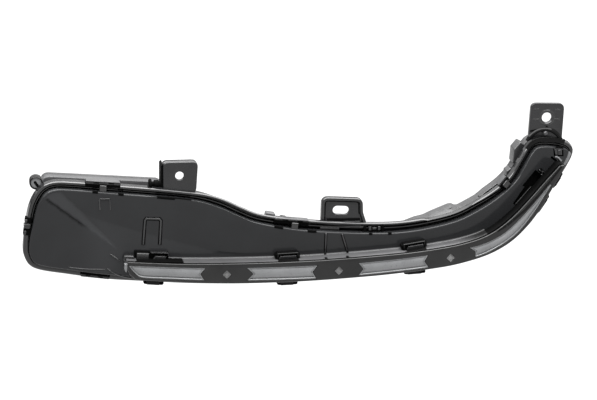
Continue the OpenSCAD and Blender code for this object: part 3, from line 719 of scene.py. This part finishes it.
for part, material, profile in [
        ("fold", VOID_GLOSS, [(16.6, 35.4), (16.2, 34.5), (15.4, 33.6), (14.3, 33.2), (13.6, 33.6),
                              (13.2, 34.6)]),
        ("recess", VOID, [(13.5, 34.2), (12.4, 36.5), (8, 37.5), (2, 38)])]:
    s = Shell(False)
    rings = [s.ring(arc(r), y) for r, y in profile]
    for a, b in zip(rings, rings[1:]):
        s.bridge(a, b, False)
    s.stand("tab_right_" + part, material, 60)
on_tab("tab_right_knob", circle((293.5, 14.6), 1.7, 16), 31, 36, GRAIN, 0.8, step=6)

lathe("locating_boss", [(4, 9.3), (4, 1), (4.1, 0.4), (4.3, 0.1), (4.6, 0), (4.9, 0.2), (5.1, 0.7),
                        (5.1, 8.6), (4.8, 9), (4.3, 9), (4, 8.7)], (BOSS[0], 8, BOSS[1]), (0, 1, 0),
      VOID_GLOSS)
on_tab("boss_web", circle(BOSS, 4.05, 28), 9.2, 9.8, BAR, 0.1, step=6)
slot = oblong(2, 6, (-107.9, -4.6), 32, 0.5)
on_tab("boss_slot", slot, 8.9, 9.4, VOID, 0.1, step=6)
lathe("side_stub", [(0, -0.5), (3.6, -0.4), (4.3, 0.1), (4.3, 1.4), (3.9, 1.8), (2.2, 2), (2.2, 3.4),
                    (3.2, 3.8), (3.2, 7), (2.6, 7.3), (2.6, 10.5)], (-23, 4, -6.6), (1, 0, 0), VOID)
for i, (at, size) in enumerate([((71.3, -37.5), (7.5, 4)), ((82, -41), (5, 3))]):
    lug = oblong(*size, at, -12, 0.9)
    on_housing(f"rear_lug_{i + 1}", lug, 9, 16, VOID if i else GRAIN, 0.5, step=6)
spigot_at = (SPIGOT[0], bow(SPIGOT[0]) + BODY_BACK, SPIGOT[1])
lathe("vent_spigot", [(6, -1), (6, 5.8), (5.8, 6), (4, 6), (4, 2)], spigot_at, (0, 1, 0), GRAIN)

run = sorted(tuple(q) for q in grow(rim, -2.3) if 276 < q[0] < 311 and q[1] > 3.5)
on_housing("rim_end_shade", stroke(run, 3.4), -3.3, 0, VOID_GLOSS, 0.2)
ARM_BLOCKS = [(8, 21, [(268.5, -10), (269.5, 1.5), (274.5, 6.8), (279, 4), (276, -11)]),
              (5.5, 16, [(262, -24.5), (262.8, -15), (266.3, -12.8), (271, -17.5), (267, -27)]),
              (7, 18, [(242, -37.5), (249, -31.3), (255.5, -27), (259, -31.5), (247.5, -41)])]
for i, (near_level, far_level, loop) in enumerate(ARM_BLOCKS):
    on_housing(f"arm_block_{i + 1}", rounded(loop, 1.2, 4), near_level, far_level, BODY, 0.8)

# Snap catches on the rim with their windows, and the cover's tongues

# Place, turn, width, thickness, and the tongue's shift along the catch, 0 where there is no tongue
SNAPS = [((-58.6, -3.2), -5, 26, 2.3, 0.2), ((86.2, -39), -8, 27, 1.5, 2.6),
         ((257.6, -20.6), 48, 9, 1.6, 0.2), ((-66, -75.4), 172, 22, 1.6, 0)]
for i, (at, turn, width, thick, tongue) in enumerate(SNAPS):
    bar = oblong(width, thick, at, turn, 0.7, 4, dz=0.5)
    on_housing(f"rim_catch_{i + 1}", bar, -4, 4, TAB, 0.5)
    lip = oblong(width - 0.6, 0.7, at, turn, 0.3, dz=0.5 + thick / 2)
    on_housing(f"rim_catch_lip_{i + 1}", lip, -4.3, 3, GRAIN, 0.2)
    shade = oblong(width + 0.8, 3.4, at, turn, 0.6, dz=-1.2)
    on_housing(f"catch_shade_{i + 1}", shade, -3.15, 3, VOID, 0.2)
    if width > 12:
        for k, dx in enumerate((-0.19 * width, 0.24 * width)):
            win = oblong(0.17 * width, 1, at, turn, 0.4, dx=dx, dz=0.6)
            on_housing(f"catch_window_{i + 1}_{k + 1}", win, -4.15, -3, VOID, 0.1)
    if tongue:
        tip = oblong(5.2, 5, at, turn, 0.5, dx=tongue, dz=-3.4)
        on_cover(f"cover_tongue_{i + 1}", tip, -5.8, -3.1, HOOK, 0.5)
NOTCHES = [(144.6, 2.2, 5.4, VOID), (152, 6.4, 5.4, VOID), (158.8, 2.2, 5.4, VOID),
           (148.4, 2, 3, RIM_M), (155.8, 2, 3, RIM_M), (152, 3.2, 1.6, RIM_M)]
for k, (x, w, h, m) in enumerate(NOTCHES):
    notch = oblong(w, h, (x, -49.4 + (x - 150) * -0.04), -2, 0.5)
    on_housing(f"rim_notch_{k + 1}", notch, -3.2 if m is VOID else -3.8, 3, m, 0.25)
for i, (at, size) in enumerate([((-115.3, -30.6), (5, 4.4)), ((-116.4, -39.8), (5.6, 5.2))]):
    gap = oblong(*size, at, -8, 0.6)
    on_housing(f"side_gap_{i + 1}", gap, -3.25, 2, VOID, 0.15)
    bit = oblong(1.9, size[1] * 0.6, (at[0] - 1.6, at[1] - 0.4), -8, 0.5)
    on_housing(f"side_bit_{i + 1}", bit, -3.9, 2, TAB, 0.6)
block = oblong(4.8, 3.2, (-116.4, -35.1), -4, 0.5)
on_housing("side_block", block, -4.2, 2, TAB, 0.5)

# Front cover: one moulded face with its creases, marks and recesses

face = ccw(inset(rim, 6.2, 1.4))
upper, middle, lower = zones(face)
shift = 1.0 * (upper + middle) + 0.9 * middle * ease(face[:, 0], 60, 100) - 1.5 * lower
face = grow(face, -shift)


def side_of(p, a, b):
    """Distance to the left of the line from a to b."""
    ax, az = a
    dx, dz = b[0] - ax, b[1] - az
    n = math.hypot(dx, dz)
    return (dx * (p[:, 1] - az) - dz * (p[:, 0] - ax)) / n


FOLD_TIP = (-45, -57)
FOLD_LEFT, FOLD_RIGHT = (-101, -13.5), (-90.5, -7.5)
CURVE = smooth([(-90.5, -10.5), (-70.5, -26), (-50, -34), (-13.5, -46), (30, -59), (60, -66)], False, 2)
DENT = smooth([(-101, -13.5), (-85, -26), (-70, -37.5)], False, 1.5)
SHEEN = smooth([(0, -18), (20, -24), (32, -30), (44.5, -36), (57, -42), (69, -48.5)], False, 3)


def fold_share(p):
    a = side_of(p, FOLD_LEFT, FOLD_TIP)
    b = side_of(p, FOLD_RIGHT, FOLD_TIP)
    return ease(a, -0.3, 0.7) * ease(-b, -0.3, 0.7) * ease(-p[:, 0], 44, 50)


def below_curve(p):
    line = np.interp(p[:, 0], CURVE[:, 0], CURVE[:, 1])
    return ease(line - p[:, 1], -0.2, 0.6) * ease(p[:, 0], -88, -55) * ease(-p[:, 0], -60, -40)


def face_level(p):
    lev = np.full(len(p), COVER_LEVEL)
    lev += 0.5 * fold_share(p)
    lev += 0.4 * (1 - ease(distance(p, DENT, False), 0.3, 1.3))
    lev += 0.15 * below_curve(p)
    lev -= 0.3 * (1 - ease(distance(p, SHEEN, False), 0.5, 9))
    return lev


def face_painted_shading(p):
    """Painted light and shade on the cover, from 0 to 1: painted sheen on the fold and below the curve,
    painted shade along the dent.
    """
    t = 0.22 + 0.17 * fold_share(p)
    t = t - 0.36 * (1 - ease(distance(p, DENT, False), 0.3, 1.6)) * ease(-p[:, 0], 68, 80)
    t = t + 0.08 * below_curve(p)
    return np.clip(t, 0.0, 1)


TOP_LINE = np.array(sorted([tuple(q) for q in face if q[1] > -52 and q[0] < 285]))
ARM_POCKET = ccw([(284, -12.5), (273, -24.5), (275, -25.3), (265.3, -38.2), (267.2, -39.6),
                  (279.3, -26.2), (283.5, -26.5), (291, -19)])
END_POCKET = ccw([(298.6, 3.9), (307.4, 3.4), (307.9, -3.9), (299.6, -2.9)])
CRACK = ccw(stroke([(297.2, -3.4), (303.2, -8.2)], 1.8))
pockets = [ARM_POCKET, END_POCKET, CRACK]
creases = [DENT, CURVE[CURVE[:, 0] < 45]]
s = Shell()
# How wide the face's rounded edge is, as a share; it is nearly sharp from x -22 to 50
soft = 1 - 0.85 * ease(face[:, 0], -27, -22) * (1 - ease(face[:, 0], 50, 66)) * (face[:, 1] > -50)
edge = [(0.05, 0.35), (0.18, 0.62), (0.42, 0.86), (0.75, 1), (1.2, 1.09)]
s.sweep(face, [(0, 7), (0, -5.9)] + [(soft * d, -5.9 - level) for d, level in edge])
s.cap(grow(face, -1.2 * soft), face_level, pockets, 1.7, lines=creases)
cover = s.make("cover_face", FACE, 25)
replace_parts(cover, "front_cover")
co = np.array([v.co[:] for v in cover.data.vertices]) * 1000
# Painted sheen and shade of the cover, stored per point
painted_shading = cover.data.attributes.new("painted_shading", "FLOAT", "POINT")
painted_shading.data.foreach_set("value", face_painted_shading(co[:, [0, 2]]).astype(np.float32))
for k, loop in enumerate(pockets):
    s = Shell()
    s.sweep(loop, [(0, -6.99), (0, -3.2)])
    s.cap(loop, -3.2, step=4.0)
    s.stand(f"face_pocket_{k + 1}", VOID, 35, "front_cover")


def on_face(name, loop, top, material, r=0.3, base=-6.7):
    on_cover(name, loop, top, base, material, r)


def edge_run(x0, x1, deep):
    """Points along the upper edge of the face between two x, a little inside it."""
    return sorted((x, z) for x, z in grow(face, -deep)
                  if x0 < x < x1 and z > np.interp(x, TOP_LINE[:, 0], TOP_LINE[:, 1]) - 6)


# Dark strips over the face's rounded edge between these x: painted shade where the edge shows no highlight
EDGE_SHADES = [(-68, -62), (-48.5, -42), (-19, 9), (71, 79), (98, 106), (146, 150.5), (162, 166.5)]
for k, (x0, x1) in enumerate(EDGE_SHADES):
    on_face(f"edge_notch_{k + 1}", stroke(edge_run(x0, x1, 0.5), 1.7), -7.15, VOID, 0.1, -5)

on_face("mark_square_top", stroke([(-61.6, -14), (-53.8, -14.2)], 1.1), -7.75, TAB, 0.45)
on_face("mark_square_left", stroke([(-61.8, -14.6), (-61.5, -22.6)], 1), -7.6, FACE_EDGE, 0.4)
on_face("mark_square_right", stroke([(-54, -14.8), (-53.6, -22.8)], 0.7), -7.4, FACE_EDGE, 0.3)
ARCH = [(-29.2, -51), (-27.6, -32), (-26.6, -30.6), (-16.6, -31.2), (-15.4, -32.6), (-16.6, -51.5)]
on_face("mark_arch_shade", stroke(ARCH, 2.8), -7.12, VOID, 0.05)
on_face("mark_arch", stroke(ARCH, 1.3), -7.5, FACE_EDGE, 0.3)
for k, line in enumerate([[(112.6, -49.5), (112, -65.2)], [(125.4, -51), (129.4, -64.6)]]):
    on_face(f"mark_rib_shade_{k + 1}", stroke(line, 2.3), -7.08, VOID, 0.05)
    on_face(f"mark_rib_{k + 1}", stroke(line, 1.2), -8, FACE_EDGE, 0.45)
for k, at in enumerate([(112, -66.1), (129.8, -65.7)]):
    on_face(f"mark_dot_{k + 1}", circle(at, 0.9, 12), -7.8, VOID, 0.2)
LOW_CREASES = [([(-86, -67.2), (-72, -69), (-58.5, -69.6)], 0.6, -7.25, 0.25),
               ([(-57, -69), (-52, -72.5), (-46, -75.5), (-38, -77.4)], 0.9, -7.6, 0.4)]
for k, (line, w, top, r) in enumerate(LOW_CREASES):
    on_face(f"low_crease_{k + 1}", stroke(smooth(line, False, 3), w), top, FACE_EDGE, r)
on_face("nose_flare", stroke([(-54.5, -57.5), (-46.8, -63.2)], 0.9), -7.5, FACE_EDGE, 0.4)

on_face("arm_rod", stroke([(281.2, -26.2), (268.2, -39.4)], 2.5), -7.9, VOID_GLOSS, 0.6)
on_face("arm_line", stroke([(289.8, -20.2), (285.2, -24.3), (282.4, -27), (269.8, -39.6)], 0.45), -8.1,
        FACE_EDGE, 0.15)
on_face("arm_latch_shade", [(285.4, -12.9), (289, -11.6), (294, -17), (291, -19.2)], -7.1, VOID, 0.1)
on_face("arm_latch_1", stroke([(287.2, -12.6), (290.2, -15.4)], 0.9), -8.2, FACE_EDGE, 0.35)
on_face("arm_latch_2", stroke([(290, -14), (292.6, -16.6)], 0.9), -8.2, TAB, 0.35)
on_face("arm_latch_3", stroke([(289, -16.6), (291.2, -18.6)], 0.8), -8, FACE_EDGE, 0.35)
on_face("end_block", rounded([(299.9, 2.6), (306.4, 2.2), (306.8, -2.9), (300.9, -2.1)], 0.4, 3), -6.9,
        FACE_EDGE, 0.4, -3.4)
on_face("end_square", oblong(3, 4, (304.3, -0.2), 3, 0.4), -7.8, TAB, 0.5, -6)
# A light grey crescent at the right end: painted highlight
on_face("end_crescent", stroke([(300.8, -3.4), (303.4, -4.6), (306.2, -7.6)], 1.3), -7.9, PAINTED_HIGHLIGHT, 0.5)
# A light grey patch at the right end by the rim: painted reflection
crescent = [(313.8, -1.2), (315.6, -3.4), (313.8, -8.2), (310.6, -12.6), (309.4, -11.2), (310, -6.8)]
s = Shell()
loop = ccw(even(crescent, True, 1))
s.cap(loop, -3.3, step=2.0)
s.sweep(loop, [(0, -3.3), (0, 0)])
s.stand("end_painted_reflection", PAINTED_HIGHLIGHT, 40)

# Light strip: satin ledge, black front with its windows, grey bars and markers

nose_top = smooth(NOSE_TOP, False, 2)
nose = ccw(even(np.vstack([nose_top, smooth(NOSE_LOW, False, 2)]), True, 2))
arm_part = (nose[:, 0] > 243) & (nose[:, 1] > -60)


def nose_part(name, keep, material, profile):
    s = Shell()
    rings = [grow(nose, -d) for d, level in profile]
    first = [i for i in range(len(nose)) if keep[i] and not keep[i - 1]] or [0]
    order = [(first[0] + k) % len(nose) for k in range(int(keep.sum()) + 1)]
    last = None
    for ring, (d, level) in zip(rings, profile):
        ids = s.ring(ring[order], level)
        if last:
            s.bridge(last, ids, False)
        last = ids
    s.stand(name, material, 40, "strip_bezel")


SKIN = [(0, -6.9), (0, -17.3), (0.15, -17.6), (0.5, -17.7)]
nose_part("strip_ledge", ~arm_part, LEDGE, SKIN)
# Up the arm the ledge is shadow black: painted shade where it turns up
nose_part("strip_ledge_arm", arm_part, VOID, SKIN)
top_part = (grow(nose, 1)[:, 1] - nose[:, 1] > 0.5) & ~arm_part
nose_part("strip_ledge_fillet", top_part, LEDGE,
          [(-1.2, -7.02), (-0.65, -7.15), (-0.27, -7.5), (-0.06, -8.1), (0, -8.8)])
nose_part("strip_gap", np.ones(len(nose), bool), VOID, [(0.5, -17.7), (1.5, -17.7), (1.5, -21)])

top_edge = smooth(BARS_TOP, False, 2)
low_edge = smooth(BARS_LOW, False, 2)


def near(line, p):
    return int(np.argmin(np.linalg.norm(line - np.array(p), axis=1)))


def bar_loop(i):
    """Outline of one bar: its stretch of the band between the two notched ends."""
    l, r = BAR_ENDS[i]
    a = near(top_edge, l[0]) if l else -1
    b = near(top_edge, r[0]) if r else len(top_edge)
    c = near(low_edge, r[2]) if r else -1
    d = near(low_edge, l[2]) if l else len(low_edge)
    parts = [([l[0]] if l else []), top_edge[a + 1:b], (r if r else []), low_edge[c + 1:d],
             ([l[2], l[1]] if l else [])]
    return ccw([q for part in parts for q in part])


bars = [bar_loop(i) for i in range(4)]
diamonds = [ccw([(x, z - 3.5), (x + 3.5, z), (x, z + 3.5), (x - 3.5, z)]) for x, z in MARKERS]
windows = [grow(b, 0.15) for b in bars] + diamonds
on_strip("strip_front", grow(nose, -0.15), STRIP_LEVEL, -20.5, FRONT, 0.6, windows, 0.25, step=4.5)

# Black band flush with the strip's front along the arm: painted shade of the deep groove between face and
# strip
groove = [(303.2, -8.8), (301.8, -6.6), (294, -15), (282.6, -27.6), (270.6, -39.2), (256.5, -49.6),
          (248, -54.6), (249, -56.6), (258.5, -51.9), (273.2, -41.2), (285.4, -29.2), (295.6, -17.8)]
on_strip("strip_groove", even(ccw(groove), True, 1.5), STRIP_LEVEL, -20, VOID_GLOSS, 0.5)


def bulge(p):
    """Level of the bars' rounded face, by the distances to the band's two edges."""
    a = distance(p, top_edge, False)
    b = distance(p, low_edge, False)
    v = np.clip(a / np.maximum(a + b, 1e-6), 0, 1)
    return -20.0 - 1.9 * np.clip(1 - (2 * v - 0.85) ** 2 / 1.3, 0, 1)


for i, loop in enumerate(bars):
    s = Shell()
    s.sweep(loop, [(0.02, -19.4), (0.02, -21.5), (0.15, -21.75), (0.45, -21.8), (0.75, -21.65),
                   (1.05, -20.9)])
    inner = grow(loop, -1.05)
    s.bridge(s.ring(inner, -20.4), s.ring(inner, bulge(inner)))
    s.cap(inner, bulge, step=0.7)
    s.stand(f"bar_lens_{i + 1}", BAR, 45, f"light_bar_{i + 1}")

for i, loop in enumerate(diamonds):
    s = Shell()
    s.sweep(loop, [(0.1, -19.6), (0.1, -21.4), (0.2, -21.6), (0.6, -21.6), (0.8, -21.2), (1, -21.2),
                   (1.15, -21.5)])
    s.cap(grow(loop, -1.15), lambda p: -21.5 - 0.22 * np.sin(p[:, 0] * 4.4) * np.sin(p[:, 1] * 4.4),
          step=0.3)
    s.stand(f"diamond_{i + 1}", MARK_M, 40, f"marker_{i + 1}")

# A light grey piece at the strip's left end: painted highlight
on_strip("strip_end_light", rounded([(-44.9, -61.6), (-42.4, -62.2), (-42.7, -65.6), (-43.6, -69.2),
                                     (-44.9, -66.4)], 0.5, 3), -21.2, -18, PAINTED_HIGHLIGHT, 0.5)
for k, x in enumerate((110.9, 127.9)):
    z = float(np.interp(x, nose_top[:, 0], nose_top[:, 1]))
    dot = oblong(1.9, 0.7, (x, z + 0.25), 0, 0.2, 2)
    on_strip(f"ledge_dot_{k + 1}", dot, -20.8, -16, VOID, 0.1)

# Latch pockets along the ledge


def pocket_latch(name, x0, x1, tilt, top, inner):
    """Block with a lit roof, a window with a bar in it and painted shade inside, and a painted shadow on
    the ledge.
    """
    xm = (x0 + x1) / 2
    z = float(np.interp(xm, nose_top[:, 0], nose_top[:, 1]))
    a, b = (x0 - x1) / 2, (x1 - x0) / 2

    def quad(low, high, left, right, left_top, right_top, r=0.5, n=3):
        corners = [(left, low), (right, low), (right_top, high), (left_top, high)]
        return rounded(turned(corners, (xm, z), tilt), r, n)

    window = quad(0.4, top - 0.7, a + 1.4, b - 1.4, a + 1.8, b - 1.6)
    on_cover(name + "_shell", quad(-1.2, top, a, b, a + 0.3, b - 0.3, 0.8, 4), -14.4, -6.8, VOID_GLOSS, 0.7,
             [window], 0.25)
    # Shadow black slab behind the window: painted shade inside it
    on_cover(name + "_dark", quad(-0.6, top - 0.3, a + 0.6, b - 0.6, a + 0.9, b - 0.9, 0.4), -12.6, -7,
             VOID, 0.1)
    bar = quad(0.1, inner[1], a + inner[0], b - 1.6, a + inner[0] + 1.6, b - 1.8)
    on_cover(name + "_bar", bar, -14, -9, TAB, 0.6)
    for k, x in enumerate((a - 0.2, b + 0.2)):
        flank = quad(0.2, top - 0.8, x - 0.8, x + 0.8, x - 0.6, x + 0.6)
        on_cover(f"{name}_flank_{k + 1}", flank, -13.2, -7, VOID, 0.4)
    # Shadow black slab on the ledge under the block: painted shadow
    foot = quad(-1.4, 0.35, a + 0.6, b - 0.6, a + 0.6, b - 0.6, 0.3)
    on_cover(name + "_foot", foot, -20.6, -12, VOID, 0.2)


pocket_latch("latch_mid", 72.8, 90.2, 0, 5, (1.2, 2.7))
pocket_latch("latch_right", 173.4, 192, 5, 5.4, (2.6, 3.1))
frame_line = [(-10.8, -63.4), (-10.6, -57.6), (-11.6, -56.9), (-24, -56.2)]
for part, loop, near_level, far_level, material, r in [
        ("shade", rounded([(-36.2, -63.6), (-10.6, -64.2), (-10.2, -56.9), (-36.2, -55.2)], 0.5, 3),
         -9.6, -6.9, VOID, 0.2),
        ("block", rounded([(-34.9, -62.6), (-25.8, -63.4), (-25.4, -56.8), (-34.6, -56.1)], 0.5, 3),
         -12.6, -8, HOOK, 0.6),
        ("bar", rounded([(-22.6, -62), (-12.4, -62.6), (-12.2, -59.6), (-20.8, -58.9)], 0.5, 3),
         -12.4, -8, TAB, 0.6),
        ("frame", stroke(frame_line, 0.6), -13, -8, TAB, 0.25),
        # Shadow black strip on the ledge under the latch: painted shadow
        ("foot", rounded([(-36.4, -63.4), (0.2, -65.2), (0.2, -62.4), (-36.4, -60.6)], 0.3, 3),
         -19.9, -9, VOID, 0.2),
        ("roll", rounded([(-45.4, -62.6), (-36.6, -63.2), (-36.4, -58.2), (-44.6, -57.6)], 1.8, 5),
         -12.5, -7, TAB, 1.3)]:
    on_cover("latch_left_" + part, loop, near_level, far_level, material, r)

# Lower latches

LOW = [((-21.5, -82.5), -6, 15.5), ((82.5, -88.3), 0, 16), ((185, -87.3), 2, 17), ((291.2, -42.2), 56, 18),
       ((303.7, -23.7), 58, 14)]
for i, (at, turn, width) in enumerate(LOW):
    y = bow(at[0])
    w = width / 2
    loop = rounded(turned([(-w, -0.8), (-w + 1.2, -1.35), (w - 1.2, -1.35), (w, -0.8), (w, 6), (-w, 6)],
                          at, turn), 0.9, 3)
    on_strip(f"low_latch_{i + 1}", loop, y - 5, y + 4, VOID, 0.6, bowed=False)
    step_loop = rounded(turned([(-w + 2.4, -1.3), (w - 3.4, -1.3), (w - 3.4, 2), (-w + 2.4, 2)], at, turn),
                        0.5, 3)
    on_strip(f"low_latch_pad_{i + 1}", step_loop, y - 6.2, y, VOID_GLOSS, 0.5, bowed=False)

# The solids themselves get their finish

FINISH = [
    (RUBBER, "sealing_bead lid_gasket vent_spigot_cap"),
    (CLEAR, "window_lens light_guide"),
    (LAMP, "leds"),
    (WHITE, "led_carrier led_board_1 led_board_2 led_board_3 board_lead"),
    (BOARD, "driver_board"),
    (STEEL, "carrier_screws board_screws lid_screws"),
    (CHIP, "driver_parts"),
    (GRAIN_E, "rear_lid rear_housing"),
    (SOCKET, "connector_socket"),
    (BRASS, "contact_pins"),
    (MEMBRANE, "vent_membrane"),
    (GLOSS, "front_cover"),
    (FRONT, "strip_bezel"),
    (BAR, "light_bar_1 light_bar_2 light_bar_3 light_bar_4"),
    (MARK_M, "marker_1 marker_2 marker_3"),
]
for material, names in FINISH:
    for name in names.split():
        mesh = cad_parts[name].data
        mesh.materials.clear()
        mesh.materials.append(material)
        for p in mesh.polygons:
            p.material_index = 0
        mesh.shade_smooth()
        mesh.set_sharp_from_angle(angle=math.radians(28))

# Floor, light and camera


def floor_material():
    m, t, b = nodes_of("pale_floor")
    cloud = noise(t, 3, 3)
    tint(t, cloud, (0.87, 0.87, 0.87), (0.9, 0.9, 0.9), b.inputs["Base Color"])
    b.inputs["Roughness"].default_value = 0.9
    b.inputs["Specular IOR Level"].default_value = 0.1
    return m


mesh = bpy.data.meshes.new("floor")
mesh.from_pydata([(-16, -10, -1.2), (16, -10, -1.2), (16, 22, -1.2), (-16, 22, -1.2)], [], [(0, 1, 2, 3)])
mesh.materials.append(floor_material())
floor = bpy.data.objects.new("floor", mesh)
bpy.context.scene.collection.objects.link(floor)

world = bpy.data.worlds.new("studio")
world.use_nodes = True
t = world.node_tree
bg = t.nodes["Background"]
coord = t.nodes.new("ShaderNodeTexCoord")
sep = t.nodes.new("ShaderNodeSeparateXYZ")
t.links.new(coord.outputs["Generated"], sep.inputs["Vector"])
# Bright above, and darker at the back than in front where it meets the horizon
sky = spread(t, sep.outputs["Z"], 0, 1.4, bg.inputs["Strength"], 0.13, 0.21, "SMOOTHSTEP")
spread(t, sep.outputs["Y"], 0.9, 0.2, sky.inputs["To Min"], -0.3, 0.3, "SMOOTHSTEP")
bg.inputs["Color"].default_value = (1, 1, 1, 1)
bpy.context.scene.world = world

light = bpy.data.lights.new("overhead", "AREA")
light.shape = "RECTANGLE"
light.size, light.size_y = 1.3, 1.0
light.energy = 48
lamp = bpy.data.objects.new("overhead", light)
bpy.context.scene.collection.objects.link(lamp)
lamp.location = (0.1, 0.02, 0.55)
lamp.rotation_euler = Vector((0, 0, -1)).to_track_quat("-Z", "Y").to_euler()

# Camera: the photograph's direction, at a distance that gives its slight perspective
AZ, EL, DISTANCE = math.radians(-9), math.radians(15), 2.0
TARGET = Vector((0.08851, -0.0188, -0.01762))
back_v = Vector((math.sin(AZ) * math.cos(EL), -math.cos(AZ) * math.cos(EL), math.sin(EL)))
side_v = Vector((0, 0, 1)).cross(back_v).normalized()
up_v = back_v.cross(side_v)
at = TARGET + back_v * DISTANCE
cam = bpy.data.cameras.new("camera")
cam.lens = 158.69
cam.sensor_width = 36
cam.sensor_fit = "HORIZONTAL"
cam.clip_end = 60
camera = bpy.data.objects.new("camera", cam)
camera.matrix_world = Matrix(((side_v.x, up_v.x, back_v.x, at.x), (side_v.y, up_v.y, back_v.y, at.y),
                              (side_v.z, up_v.z, back_v.z, at.z), (0, 0, 0, 1)))
bpy.context.scene.collection.objects.link(camera)
bpy.context.scene.camera = camera
bpy.context.scene.view_settings.view_transform = "Standard"
bpy.context.scene.view_settings.look = "None"
